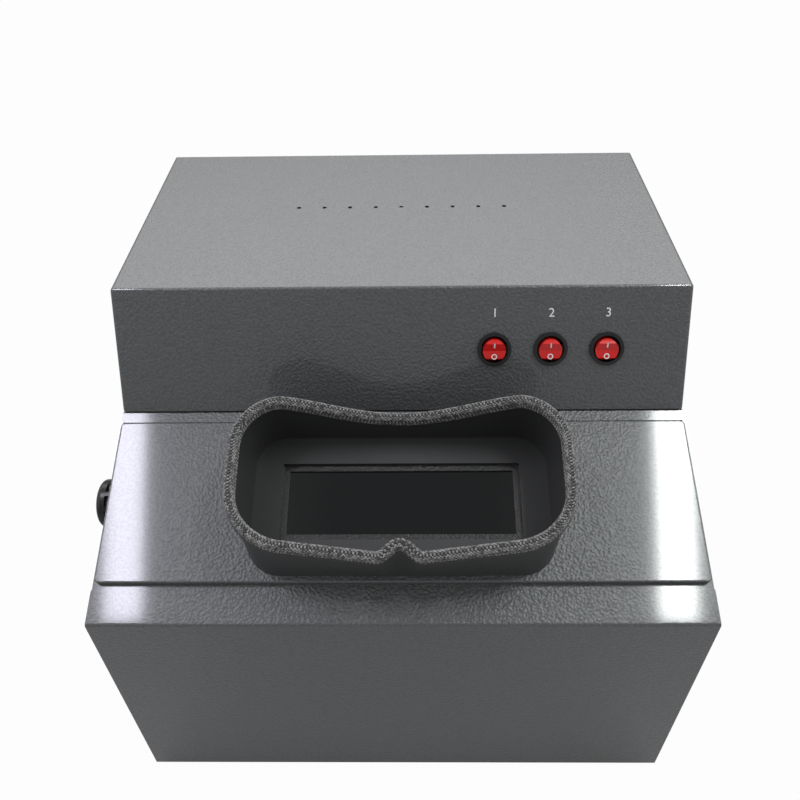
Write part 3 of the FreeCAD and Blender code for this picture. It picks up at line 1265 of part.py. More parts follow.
def make_electrics():
    """Ballasts, the white lights' driver and the terminal block, all on the pan."""
    floor = "Worked.pan_z"
    x = "Worked.ballast_x"
    for name, row in (("254", "Worked.lamp_254_y"), ("365", "Worked.lamp_365_y")):
        slab(f"ballast_{name}",
             [rect(x, f"{x} + Worked.ballast_width",
                   f"{row} - Sizes.ballast_depth / 2", f"{row} + Sizes.ballast_depth / 2")],
             floor, f"{floor} + Sizes.ballast_height")
    slab("light_driver",
         [rect(x, f"{x} + Worked.driver_width",
               "Worked.led_y - Sizes.driver_depth / 2", "Worked.led_y + Sizes.driver_depth / 2")],
         floor, f"{floor} + Sizes.driver_height")
    block = slab("terminal_block",
                 [rect("Worked.terminal_x", "Worked.terminal_x + Sizes.terminal_width",
                       "Worked.led_y - Sizes.terminal_length / 2",
                       "Worked.led_y + Sizes.terminal_length / 2")],
                 floor, f"{floor} + Sizes.terminal_height")
    wells = [disc("Worked.terminal_x + Sizes.terminal_width / 2",
                  f"Worked.led_y + ({k}) * Sizes.terminal_length / 6", "Sizes.screw_head_radius")
             for k in (-2, -1, 0, 1, 2)]
    pocket(block, draw(block, "XY_Plane", wells, f"{floor} + Sizes.terminal_height"),
           "4 * Sizes.sheet", True)


def make_feet():
    """Rubber feet, their screws sunk in counterbores."""
    names = ("front_left", "front_right", "rear_left", "rear_right")
    height = amount("Worked.base_z")
    head_room = amount("Sizes.screw_head_radius + Sizes.fit_gap")
    sink = height / 2
    hole = amount("Sizes.screw_radius + Sizes.screw_clearance")
    for name, (u, v) in zip(names, foot_spots()):
        spot = FreeCAD.Vector(amount(u), amount(v), 0)
        foot = Part.makeCone(amount("Sizes.foot_toe"), amount("Sizes.foot_radius"), height, spot)
        foot = foot.cut(Part.makeCylinder(head_room, sink, spot))
        foot = foot.cut(Part.makeCylinder(hole, height, spot))
        solid(f"foot_{name}", foot)
    places = [at(amount(u), amount(v), sink, (0, 0, -1)) for u, v in foot_spots()]
    screw_group("foot_screws", places, height - sink + 2 * amount("Sizes.sheet"))


def make_screws():
    """Screws of the front cover, the head with its rear panel, the inlet and the hood."""
    skin = amount("Sizes.sheet")
    bottom = amount("Sizes.foot_height")
    places = [at(amount(u), amount(v), bottom, (0, 0, -1)) for u, v in front_screw_spots()]
    screw_group("front_screws", places, 3 * skin)
    side = amount("Worked.half_width")
    places = [at(sign * side, amount(y), amount(z), (sign, 0, 0))
              for sign in (-1, 1) for y, z in head_screw_spots() + rear_screw_spots()]
    screw_group("head_screws", places, 3 * skin)
    face = amount("Worked.rear_face_y + Sizes.inlet_flange")
    places = [at(amount(x), face, amount(z), (0, 1, 0)) for x, z in inlet_screw_spots()]
    screw_group("inlet_screws", places, amount("Sizes.inlet_flange") + 2 * skin)
    seat = amount("Worked.lid_under - Sizes.glass_thick - Sizes.frame_lip")
    places = [at(amount(u), amount(v), seat, (0, 0, -1)) for u, v in hood_screw_spots()]
    grip = amount("Sizes.lid_raise") - seat + amount("Sizes.hood_screw_bite")
    screw_group("hood_screws", places, grip, SLOPE_FRAME)


def check_all():
    """Stop on a failed feature, a cut that removed nothing or a bad shape."""
    doc.recompute()
    for obj in doc.Objects:
        if "Invalid" in obj.State or "Error" in obj.State:
            raise RuntimeError(f"{obj.Label} failed: {obj.State}")
        if obj.TypeId == "PartDesign::Pocket":
            if obj.Shape.Volume > obj.BaseFeature.Shape.Volume - 0.01:
                raise RuntimeError(f"{obj.Label} removed nothing")
    for part in parts:
        if part.Shape.isNull() or not part.Shape.isValid() or not part.Shape.Solids:
            raise RuntimeError(f"{part.Label} has a bad shape")


make_casing()
make_front_cover()
make_head_cover()
make_pan()
make_rear_panel()
make_mains_inlet()
make_lid()
make_window()
make_hood()
make_seal()
make_hinge("left", -1)
make_hinge("right", 1)
make_hinge_pins()
make_stay()
make_knob()
for switch in (1, 2, 3):
    make_switch(switch)
make_lamp_set("254", "Worked.lamp_254_y")
make_lamp_set("365", "Worked.lamp_365_y")
make_white_lights()
make_electrics()
make_feet()
make_screws()
check_all()

os.makedirs("parts", exist_ok=True)
for part in parts:
    part.Shape.exportStep(f"parts/{part.Label}.step")
    box = part.Shape.BoundBox
    print(f"{part.Label:24} solids {len(part.Shape.Solids):2}  volume {part.Shape.Volume:10.0f}"
          f"  x {box.XMin:7.1f} {box.XMax:7.1f}  y {box.YMin:7.1f} {box.YMax:7.1f}"
          f"  z {box.ZMin:7.1f} {box.ZMax:7.1f}")
print(f"{len(parts)} sub-parts written")
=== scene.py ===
# %% [markdown]
# A bench-top ultraviolet viewing cabinet, dressed over its CAD frame.
# The frame holds every rigid piece at its real size. This file adds what the eye sees:
# the hammered paint, the knitted trim on the viewing hood, the screws' cross recesses, the
# printed marks, the studio and the camera. All lengths are in metres.

# %% Load the frame
import math

import bmesh
import bpy
from mathutils import Matrix, Vector


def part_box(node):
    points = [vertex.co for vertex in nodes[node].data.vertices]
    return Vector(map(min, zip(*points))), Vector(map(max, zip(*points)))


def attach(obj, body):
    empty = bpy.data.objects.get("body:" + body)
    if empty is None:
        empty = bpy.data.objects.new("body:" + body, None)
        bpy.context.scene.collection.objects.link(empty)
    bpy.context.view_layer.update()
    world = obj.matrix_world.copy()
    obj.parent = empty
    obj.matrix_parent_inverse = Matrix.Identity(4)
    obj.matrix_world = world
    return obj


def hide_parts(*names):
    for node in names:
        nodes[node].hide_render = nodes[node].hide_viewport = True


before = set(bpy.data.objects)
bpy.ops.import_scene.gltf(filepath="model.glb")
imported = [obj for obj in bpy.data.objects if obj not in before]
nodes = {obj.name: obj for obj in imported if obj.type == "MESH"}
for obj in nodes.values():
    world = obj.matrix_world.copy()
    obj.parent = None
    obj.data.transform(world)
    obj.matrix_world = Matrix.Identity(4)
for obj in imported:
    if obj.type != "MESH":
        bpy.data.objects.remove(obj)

scene = bpy.context.scene
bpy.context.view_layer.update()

# %% [markdown]
# The front panel leans back at one angle and the lamp head's front at another.
# A piece on either is easiest to place in that panel's own directions: how far across,
# how far up the panel, how far out of it. Both panels share the neck, the line where the
# head meets the slope. Everything is measured from the middle of the folded body.

# %% Directions of the slope and of the head's front
front_low, front_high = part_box("front_cover")
head_low, head_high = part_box("head_cover")
middle_x = (front_low.x + front_high.x) / 2
slope_angle = math.radians(21.1)
front_height = 0.1995
slope_run = head_low.y - front_low.y
neck = Vector((middle_x, head_low.y,
               front_low.z + front_height + slope_run * math.tan(slope_angle)))
head_lean = 0.0382
head_angle = math.atan2(head_high.z - neck.z, head_lean)


def panel_turn(angle):
    """Turns across, up and out of a panel into the room's X, Y and Z."""
    return Matrix.Rotation(angle, 3, "X")


def on_panel(angle, across, up, out):
    return neck + panel_turn(angle) @ Vector((across, up, out))


print("neck at", [round(v, 4) for v in neck], "head leans", round(math.degrees(head_angle), 1))

# %% [markdown]
# The camera stands where the photographer stood: over the front edge, looking down.
# Its place and turn come from the perspective of the body's straight edges.

# %% Camera
camera_place = Vector((middle_x + 0.0075, front_low.y - 0.2573, 0.6296))
camera_yaw = math.radians(-1.21)
camera_pitch = math.radians(42.41)
camera_roll = math.radians(-1.12)
focal_pixels = 776
picture_pixels = 800

ahead = Vector((math.sin(camera_yaw) * math.cos(camera_pitch),
                math.cos(camera_yaw) * math.cos(camera_pitch), -math.sin(camera_pitch)))
level = Vector((math.cos(camera_yaw), -math.sin(camera_yaw), 0))
upward = level.cross(ahead)
rolled_right = level * math.cos(camera_roll) + upward * math.sin(camera_roll)
rolled_up = upward * math.cos(camera_roll) - level * math.sin(camera_roll)

camera_data = bpy.data.cameras.new("camera")
camera_data.sensor_width = 36
camera_data.lens = focal_pixels / picture_pixels * camera_data.sensor_width
camera_data.clip_start = 0.01
camera = bpy.data.objects.new("camera", camera_data)
scene.collection.objects.link(camera)
turn = Matrix((rolled_right, rolled_up, -ahead)).transposed().to_4x4()
camera.matrix_world = Matrix.Translation(camera_place) @ turn
scene.camera = camera
scene.view_settings.view_transform = "Standard"
print("camera looks along", [round(v, 3) for v in ahead])

# %% [markdown]
# Shader maths reads best as ordinary sums. The class below wraps one output of a node and
# gives it +, -, * and /, each of which adds a Math node. Any other node comes from the
# method `node` of a finish, which takes the node's type, its settings and what goes in.

# %% Shader helper
class Wire:
    """One output socket of a material, with the operators that the finishes use."""

    def __init__(self, tree, socket):
        self.tree = tree
        self.socket = socket

    def math(self, operation, *others, clamp=False):
        step = self.tree.nodes.new("ShaderNodeMath")
        step.operation = operation
        step.use_clamp = clamp
        for number, value in enumerate((self,) + others):
            plug(self.tree, step.inputs[number], value)
        return Wire(self.tree, step.outputs[0])

    def __add__(self, other):
        return self.math("ADD", other)

    def __sub__(self, other):
        return self.math("SUBTRACT", other)

    def __mul__(self, other):
        return self.math("MULTIPLY", other)

    def __truediv__(self, other):
        return self.math("DIVIDE", other)

    def __rsub__(self, other):
        return self * -1 + other

    __radd__ = __add__
    __rmul__ = __mul__

    def above(self, limit, blur):
        """0 below a limit and 1 above it, with a soft step between."""
        return ((self - limit) / blur).math("ADD", 0.5, clamp=True)


def plug(tree, socket, value):
    """Put a wire, a number or a colour into a socket."""
    if isinstance(value, Wire):
        tree.links.new(value.socket, socket)
    else:
        socket.default_value = value


def parts_of(tree, vector):
    """The three numbers of a vector."""
    step = tree.nodes.new("ShaderNodeSeparateXYZ")
    plug(tree, step.inputs[0], vector)
    return [Wire(tree, output) for output in step.outputs]


class Finish:
    """A material under construction, around its Principled shader."""

    def __init__(self, name):
        self.material = bpy.data.materials.new(name)
        self.material.use_nodes = True
        self.tree = self.material.node_tree
        self.shader = next(n for n in self.tree.nodes if n.type == "BSDF_PRINCIPLED")

    def node(self, kind, settings=None, output=0, **values):
        step = self.tree.nodes.new("ShaderNode" + kind)
        for key, value in (settings or {}).items():
            setattr(step, key, value)
        for key, value in values.items():
            plug(self.tree, step.inputs[key.replace("_", " ")], value)
        return Wire(self.tree, step.outputs[output])

    def place(self):
        """Where a point is on the object, in metres."""
        return self.node("TexCoord", output="Object")

    def noise(self, vector, size, detail=2.0, rough=0.5, stretch=None):
        """Soft noise about 0.5 whose blotches are about size metres wide."""
        if stretch:
            vector = self.node("Mapping", Vector=vector, Scale=stretch)
        return self.node("TexNoise", Vector=vector, Scale=1 / size, Detail=detail,
                         Roughness=rough)

    def mix(self, share, first, second):
        step = self.tree.nodes.new("ShaderNodeMix")
        step.data_type = "RGBA"
        plug(self.tree, step.inputs[0], share)
        sockets = [s for s in step.inputs if s.type == "RGBA"]
        for socket, value in zip(sockets, (first, second)):
            plug(self.tree, socket, value)
        return Wire(self.tree, next(s for s in step.outputs if s.type == "RGBA"))

    def bump(self, height, depth):
        """Raise the surface by depth metres where height is 1."""
        return self.node("Bump", Height=height, Distance=depth)

    def set(self, **values):
        for key, value in values.items():
            plug(self.tree, self.shader.inputs[key.replace("_", " ")], value)
        return self.material


def grey(level, warm=0.0):
    """A near-neutral colour. A positive warm moves it from blue towards yellow."""
    return (level * (1 + warm), level, level * (1 - warm), 1)


def darker(colour, share):
    return tuple(c * share for c in colour[:3]) + (1,)


# %% [markdown]
# The cabinet is coated in a charcoal hammer finish: a paint with metal flake, whose skin
# pulls into shallow cells two or three millimetres across. The flake makes it bright
# where it mirrors the lamps and dark elsewhere. The cells are soft noise used as height,
# so that they break each highlight into sparkles and leave the colour almost even.
# Round its window, where the hood stands on it, the lid's colour is near black and not metallic:
# painted shade for the ledge, which lies in the hood's shade.

# %% Hammered paint
window_across = 0.0785
window_up = 0.0268
window_middle = 0.0685


def hammered_paint(name, level=0.13, cell=0.0017, depth=0.0006, tint=-0.03, shaded_ledge=False):
    paint = Finish(name)
    place = paint.place()
    cells = paint.noise(place, cell, detail=0.6, rough=0.3)
    grain = paint.noise(place, cell / 2.4, detail=1.0)
    clouds = paint.noise(place, 0.05, detail=3.0)
    height = cells * 0.85 + grain * 0.15
    shade = paint.mix(clouds, grey(level * 0.95, tint), grey(level * 1.05, tint))
    colour = paint.mix(height.above(0.48, 0.3), grey(level * 0.8, tint), shade)
    metal = 0.5
    # Painted shade: inside the window's outline the colour is near black and not metallic, for the
    # ledge in the hood's shade; painted is 1 outside it, where the hammered colour shows.
    if shaded_ledge:
        x, y, _ = parts_of(paint.tree, place)
        y_middle = neck.y - window_middle * math.cos(slope_angle)
        beside = (x - neck.x).math("ABSOLUTE").above(window_across, 0.0004)
        beyond = (y - y_middle).math("ABSOLUTE").above(window_up * math.cos(slope_angle), 0.0004)
        painted = beside.math("MAXIMUM", beyond)
        colour = paint.mix(painted, grey(0.006), colour)
        metal = painted * metal
    return paint.set(Base_Color=colour, Metallic=metal, Roughness=grain * 0.1 + 0.34,
                     Coat_Weight=0.9, Coat_Roughness=0.08, Normal=paint.bump(height, depth))


case_paint = hammered_paint("hammered_paint")
# The lid's paint carries painted shade on the ledge round its window.
lid_paint = hammered_paint("lid_paint", shaded_ledge=True)
print("paint made")

# %% [markdown]
# The rest of the finishes are plain workshop ones. Each has a little unevenness, because
# real plastic, plating and rubber are never one even value.

# %% Plastics, metals, rubber
def moulded_plastic(name, colour, rough=0.4, texture=0.00004, grain=0.0008):
    plastic = Finish(name)
    place = plastic.place()
    fine = plastic.noise(place, grain, detail=2.0)
    clouds = plastic.noise(place, 0.02, detail=2.0)
    return plastic.set(Base_Color=plastic.mix(clouds, darker(colour, 0.86), colour),
                       Roughness=clouds * 0.08 + (rough - 0.04),
                       Normal=plastic.bump(fine, texture))


def plated_steel(name, level=0.55, rough=0.3, stretch=(1, 12, 12)):
    steel = Finish(name)
    brushed = steel.noise(steel.place(), 0.006, detail=3.0, stretch=stretch)
    stains = steel.noise(steel.place(), 0.03, detail=3.0)
    return steel.set(Base_Color=steel.mix(brushed, grey(level * 0.85), grey(level)),
                     Metallic=1.0, Roughness=brushed * 0.12 + stains * 0.12 + rough - 0.1)


def soft_rubber(name, level=0.022):
    rubber = Finish(name)
    dust = rubber.noise(rubber.place(), 0.004, detail=4.0)
    return rubber.set(Base_Color=rubber.mix(dust, grey(level * 0.8), grey(level * 1.3)),
                      Roughness=dust * 0.15 + 0.6, Normal=rubber.bump(dust, 0.00005))


hood_plastic = moulded_plastic("hood_plastic", grey(0.045, -0.03), 0.45, 0.00005)
black_plastic = moulded_plastic("black_plastic", grey(0.014), 0.32)
knob_plastic = moulded_plastic("knob_plastic", grey(0.012), 0.24)
white_plastic = moulded_plastic("white_plastic", grey(0.75, 0.01), 0.35)
white_ink = moulded_plastic("white_ink", grey(0.92), 0.5, 0.00001)
rocker_red = moulded_plastic("rocker_red", (0.75, 0.02, 0.018, 1), 0.18, 0.00001)
board_green = moulded_plastic("board_green", (0.02, 0.11, 0.04, 1), 0.35)
light_lens = moulded_plastic("light_lens", (0.8, 0.78, 0.7, 1), 0.15)
zinc = plated_steel("zinc_plate", 0.6)
screw_steel = plated_steel("screw_steel", 0.5, 0.25)
brass = plated_steel("brass", 0.5)
foot_rubber = soft_rubber("foot_rubber")
seal_foam = soft_rubber("seal_foam", 0.03)
print("plain finishes made")

# %% [markdown]
# The viewing glass is so dark that only its gloss shows, and so are the filters below the
# lamps, which are a deep violet. A lamp is a pale tube with a metal cap at each end; its
# material finds the caps by how far a point is from the middle of the tube.

# %% Glass and lamps
def dark_glass(name, colour):
    glass = Finish(name)
    smears = glass.noise(glass.place(), 0.03, detail=3.0)
    return glass.set(Base_Color=glass.mix(smears, colour, darker(colour, 1.3)),
                     Roughness=smears * 0.03 + 0.02, IOR=1.5)


def lamp_glass(name, node):
    low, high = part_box(node)
    prong_length = 0.006
    cap_length = 0.007
    lamp = Finish(name)
    across = parts_of(lamp.tree, lamp.place())[0]
    from_middle = (across - (low.x + high.x) / 2).math("ABSOLUTE")
    cap_start = (high.x - low.x) / 2 - prong_length - cap_length
    cap = from_middle.above(cap_start, 0.0004)
    soot = from_middle.above(cap_start - 0.012, 0.02) * 0.3
    glass = lamp.mix(soot, (0.82, 0.84, 0.88, 1), (0.3, 0.3, 0.33, 1))
    return lamp.set(Base_Color=lamp.mix(cap, glass, grey(0.6)), Metallic=cap,
                    Roughness=cap * 0.15 + 0.12)


window_glass = dark_glass("window_glass", (0.002, 0.003, 0.0035, 1))
filter_glass = dark_glass("filter_glass", (0.012, 0.004, 0.03, 1))
lamp_tube = lamp_glass("lamp_tube", "lamp_254_front")
print("glass made")

# %% [markdown]
# Each CAD node keeps its shape and takes one of these finishes in place of the plain
# colour that it came with. A name's first words pick the finish; the last row is for
# what is left: folded and plated steel.

# %% Paint the frame
finishes = (
    (("casing", "front_cover", "head_cover", "rear_panel"), case_paint),
    (("viewing_lid",), lid_paint),
    (("hood_shell",), hood_plastic),
    (("window_glass",), window_glass),
    (("window_frame", "mains_inlet", "fuse_drawer", "switch_body", "board_spacers"),
     black_plastic),
    (("side_knob",), knob_plastic),
    (("knob_insert",), brass),
    (("rocker",), rocker_red),
    (("lid_seal",), seal_foam),
    (("led_board",), board_green),
    (("white_lights",), light_lens),
    (("lamp_holders", "light_driver", "terminal_block", "ballast"), white_plastic),
    (("lamp_254", "lamp_365"), lamp_tube),
    (("filter_254", "filter_365"), filter_glass),
    (("foot_front", "foot_rear"), foot_rubber),
    (("stay_bolt", "stay_spacer", "stay_washer", "hinge_pins", "front_screws",
      "head_screws", "inlet_screws", "foot_screws", "hood_screws"), screw_steel),
    (("",), zinc),
)
for name, node in nodes.items():
    finish = next(f for starts, f in finishes if name.startswith(starts))
    node.data.materials.clear()
    node.data.materials.append(finish)
print("painted", len(nodes), "nodes")


# %% Small helpers for new pieces
def new_piece(name, mesh, material, body):
    """An object at the origin that rides on a CAD body."""
    piece = bpy.data.objects.new(name, mesh)
    scene.collection.objects.link(piece)
    if material:
        mesh.materials.append(material)
    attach(piece, body)
    return piece


def mesh_from(name, points, faces):
    mesh = bpy.data.meshes.new(name)
    mesh.from_pydata(points, [], faces)
    mesh.update()
    return mesh


# %% [markdown]
# The rim of the viewing hood is bound in a soft knitted trim, a rounded band that folds
# over the wall's edge. The wall runs up from a rounded oblong foot to a wider rim, whose
# front corners are rounder and whose front falls back a little on either side of the nose.
# Each point of the rim is matched with the one below it on the foot, so that the trim's
# section, a tall stadium, can lean with the wall as it is carried along.

# %% Sizes of the hood
hood_half = 0.0985
hood_start = 0.0217
hood_end = 0.1167
hood_height = 0.053
hood_wall = 0.0026
lid_raise = 0.004
foot_corner = 0.023
back_corner = 0.031
front_corner = 0.039
front_bow = math.radians(7)
side_flare = 0.0041
end_flare = 0.0033
nose_half = 0.0135
nose_depth = 0.008
brow_half = 0.082
brow_dip = 0.023
brow_fullness = 0.55


# %% Path of the hood's rim
def wall_corners(share):
    """The wall's corners as arcs, at the foot for share 0 and at the rim for share 1.

    Each is a middle, a radius and two angles. The edges of the nose are arcs of no size.
    """
    right = hood_half + side_flare * share
    low, high = -hood_end - end_flare * share, -hood_start + end_flare * share
    front = foot_corner + (front_corner - foot_corner) * share
    back = foot_corner + (back_corner - foot_corner) * share
    bow = front_bow * share
    front_x, back_x, back_y = right - front, right - back, high - back
    front_y = low + (front_x - nose_half) * math.tan(bow) + front / math.cos(bow)
    square = math.pi / 2
    return [(front_x, front_y, front, bow - square, 0), (back_x, back_y, back, 0, square),
            (-back_x, back_y, back, square, 2 * square),
            (-front_x, front_y, front, 2 * square, 3 * square - bow),
            (-nose_half, low, 0, 0, 0), (nose_half, low, 0, 0, 0)]


def on_arc(corner, share):
    x, y, radius, first, last = corner
    turn = first + (last - first) * share
    return Vector((x + radius * math.cos(turn), y + radius * math.sin(turn), 0))


def smooth_step(share):
    return share * share * (3 - 2 * share)


def nose_rise(across):
    """How far the rim is pinched inward at a distance from the middle."""
    share = 1 - abs(across) / nose_half
    fall = nose_half * math.tan(front_bow) * share * (1 - share) ** 2
    return nose_depth * smooth_step(share) - fall


def brow_drop(across):
    """How far the rim dips at a distance from the middle."""
    share = max(0, 1 - abs(across) / brow_half)
    return brow_dip * (smooth_step(share)
                       + (brow_fullness - 0.5) * 16 * (share * (1 - share)) ** 2)


def wall_pairs(spacing):
    """Matching points on the wall's outer face, at the foot and at the full height."""
    feet, rims = wall_corners(0), wall_corners(1)
    pairs = []
    for number, (foot, rim) in enumerate(zip(feet, rims)):
        steps = round(rim[2] * (rim[4] - rim[3]) / spacing)
        for step in range(steps + 1):
            pairs.append([on_arc(arc, step / max(steps, 1)) for arc in (foot, rim)])
        begin = pairs[-1]
        after = [on_arc(arcs[(number + 1) % len(arcs)], 0) for arcs in (feet, rims)]
        count = round((after[1] - begin[1]).length / spacing)
        for step in range(1, count):
            pairs.append([a.lerp(b, step / count) for a, b in zip(begin, after)])
    for _, rim in pairs:
        if rim.y < -hood_end and abs(rim.x) < nose_half:
            rim.y += nose_rise(rim.x)
        rim.z = hood_height
    return pairs


def rim_frames(spacing):
    """At each point of the path: the middle of the wall, and the ways along, out and up."""
    middle = -(hood_start + hood_end) / 2
    path, walls = [], []
    for foot, rim in wall_pairs(spacing):
        drop = brow_drop(rim.x) if rim.y > middle else 0
        path.append(foot.lerp(rim, 1 - drop / hood_height))
        walls.append((rim - foot).normalized())
    frames = []
    for number, (spot, wall) in enumerate(zip(path, walls)):
        along = (path[(number + 1) % len(path)] - path[number - 1]).normalized()
        outward = Vector((along.y, -along.x, 0)).normalized()
        up = (wall - along * wall.dot(along)).normalized()
        frames.append((spot - outward * hood_wall / 2, along, along.cross(up), up))
    return frames


print("rim is", round(sum((a[0] - b[0]).length for a, b in
                          zip(rim_frames(0.002), rim_frames(0.002)[1:])) * 1000), "mm round")

# %% Section of the trim
trim_half = 0.0026
trim_top = 0.0012
trim_reach = 0.0081


def trim_section(steps=9):
    """The stadium's outline as (out, up), and the way each of its points faces."""
    crown = trim_top - trim_half
    toe = 0.0011
    outline = []
    for step in range(2 * steps + 1):
        turn = math.pi * step / (2 * steps)
        facing = (math.cos(turn), math.sin(turn))
        outline.append((trim_half * facing[0], crown + trim_half * facing[1], facing))
    drop = crown + trim_reach - toe
    side = [(share, (1, 0)) for share in (0.75, 0.5, 0.25)]
    left = [(-trim_half, crown - drop * (1 - share), (-1, 0)) for share, _ in side]
    right = [(trim_half, y, (1, 0)) for _, y, _ in reversed(left)]
    corner = math.sqrt(0.5)
    foot = [(-trim_half, toe - trim_reach, (-corner, -corner)), (toe - trim_half, -trim_reach, (0, -1)),
            (trim_half - toe, -trim_reach, (0, -1)), (trim_half, toe - trim_reach, (corner, -corner))]
    return outline + left + foot + right


def sweep(name, frames, section):
    """Carry a section along the rim as a closed skin."""
    points = [neck + panel_turn(slope_angle)
              @ (spot + out * across + up * rise + Vector((0, 0, lid_raise)))
              for spot, _, out, up in frames for across, rise, _ in section]
    rings, sides = len(frames), len(section)
    faces = []
    for ring in range(rings):
        here, after = ring * sides, (ring + 1) % rings * sides
        for k in range(sides):
            along = (k + 1) % sides
            faces.append((here + k, after + k, after + along, here + along))
    mesh = mesh_from(name, points, faces)
    mesh.shade_smooth()
    shell = bmesh.new()
    shell.from_mesh(mesh)
    bmesh.ops.recalc_face_normals(shell, faces=shell.faces)
    shell.to_mesh(mesh)
    shell.free()
    return mesh


# %% [markdown]
# The knit itself is real stitches: little yarn grains laid in slanted pairs, like the
# two legs of each loop, in rows round the section. Along the crown runs a ladder of
# single rungs with dark gaps between them. A Geometry Nodes group puts one grain at each
# point of a grid and gives each its own lightness, as in a marl yarn.

# %% Stitches of the knit
stitch_pitch = 0.0021
stitch_long = 0.0019
stitch_wide = 0.0011
stitch_slant = math.radians(33)


def grain_mesh():
    """One leg of a loop: a short, fat spindle lying along X."""
    rings, sides = 4, 6
    points = [(-0.5, 0, 0), (0.5, 0, 0)]
    for ring in range(1, rings + 1):
        turn = math.pi * ring / (rings + 1)
        for side in range(sides):
            angle = 2 * math.pi * side / sides
            points.append((-0.5 * math.cos(turn), 0.5 * math.sin(turn) * math.cos(angle),
                           0.5 * math.sin(turn) * math.sin(angle)))
    faces = []
    for side in range(sides):
        after = (side + 1) % sides
        faces.append((0, 2 + after, 2 + side))
        last = 2 + (rings - 1) * sides
        faces.append((1, last + side, last + after))
        for ring in range(rings - 1):
            first, second = 2 + ring * sides, 2 + (ring + 1) * sides
            faces.append((first + side, first + after, second + after, second + side))
    mesh = mesh_from("yarn_grain", points, faces)
    mesh.shade_smooth()
    return mesh


def stitch_points(name, frames, section):
    """A point for each grain, with the ways it lies and faces kept as attributes."""
    spots, lies, faces_out = [], [], []
    tilt = panel_turn(slope_angle)
    for row, (across, rise, facing, lean) in enumerate(section):
        for spot, along, out, up in frames:
            outward = (out * facing[0] + up * facing[1]).normalized()
            shift = along * stitch_pitch * (0.5 if row % 2 else 0)
            lie = along * math.cos(lean) + outward.cross(along) * math.sin(lean)
            centre = spot + out * across + up * rise + shift
            spots.append(neck + tilt @ (centre + Vector((0, 0, lid_raise))))
            lies.append(tilt @ lie)
            faces_out.append(tilt @ outward)
    mesh = mesh_from(name, spots, [])
    for label, values in (("lie", lies), ("facing", faces_out)):
        attribute = mesh.attributes.new(label, "FLOAT_VECTOR", "POINT")
        attribute.data.foreach_set("vector", [v for way in values for v in way])
    return mesh


def placing_group(name, inputs):
    """A Geometry Nodes group that puts a copy of one object at each point."""
    group = bpy.data.node_groups.new(name, "GeometryNodeTree")
    group.interface.new_socket("Geometry", in_out="INPUT", socket_type="NodeSocketGeometry")
    group.interface.new_socket("Geometry", in_out="OUTPUT", socket_type="NodeSocketGeometry")
    sockets = {}
    for label, kind in inputs:
        sockets[label] = group.interface.new_socket(label, in_out="INPUT", socket_type=kind)
    add = group.nodes.new
    link = group.links.new
    start, end = add("NodeGroupInput"), add("NodeGroupOutput")
    lie, facing = add("GeometryNodeInputNamedAttribute"), add("GeometryNodeInputNamedAttribute")
    for step, label in ((lie, "lie"), (facing, "facing")):
        step.data_type = "FLOAT_VECTOR"
        step.inputs["Name"].default_value = label
    aim = add("FunctionNodeAxesToRotation")
    aim.primary_axis = "Z"
    aim.secondary_axis = "X"
    link(facing.outputs["Attribute"], aim.inputs["Primary Axis"])
    link(lie.outputs["Attribute"], aim.inputs["Secondary Axis"])
    chance = add("FunctionNodeRandomValue")
    link(start.outputs["Seed"], chance.inputs["Seed"])
    keep = add("GeometryNodeStoreNamedAttribute")
    keep.inputs["Name"].default_value = "lightness"
    link(start.outputs["Geometry"], keep.inputs["Geometry"])
    link(next(s for s in chance.outputs if s.enabled), keep.inputs["Value"])
    source = add("GeometryNodeObjectInfo")
    link(start.outputs["Shape"], source.inputs["Object"])
    place = add("GeometryNodeInstanceOnPoints")
    link(keep.outputs["Geometry"], place.inputs["Points"])
    link(source.outputs["Geometry"], place.inputs["Instance"])
    link(aim.outputs["Rotation"], place.inputs["Rotation"])
    link(start.outputs["Size"], place.inputs["Scale"])
    real = add("GeometryNodeRealizeInstances")
    link(place.outputs["Instances"], real.inputs["Geometry"])
    paint = add("GeometryNodeSetMaterial")
    link(real.outputs["Geometry"], paint.inputs["Geometry"])
    link(start.outputs["Material"], paint.inputs["Material"])
    link(paint.outputs["Geometry"], end.inputs["Geometry"])
    return group, {label: socket.identifier for label, socket in sockets.items()}


copies, copy_input = placing_group("copies_on_points", (
    ("Shape", "NodeSocketObject"), ("Size", "NodeSocketVector"), ("Seed", "NodeSocketInt"),
    ("Material", "NodeSocketMaterial")))


def copies_on(points, shape, size, material, seed=1):
    """The mesh of one shape copied to every point of a mesh."""
    holder = bpy.data.objects.new("points", points)
    sample = bpy.data.objects.new("sample", shape)
    for helper in (holder, sample):
        scene.collection.objects.link(helper)
    modifier = holder.modifiers.new("copies", "NODES")
    modifier.node_group = copies
    for label, value in (("Shape", sample), ("Size", size), ("Seed", seed),
                         ("Material", material)):
        modifier[copy_input[label]] = value
    graph = bpy.context.evaluated_depsgraph_get()
    mesh = bpy.data.meshes.new_from_object(holder.evaluated_get(graph))
    bpy.data.objects.remove(holder)
    bpy.data.objects.remove(sample)
    return mesh


# %% [markdown]
# Yarn is fibre, so it has no gloss and a soft edge glow. The base behind the stitches is
# the same cloth, darker, as it lies in the stitches' shade.

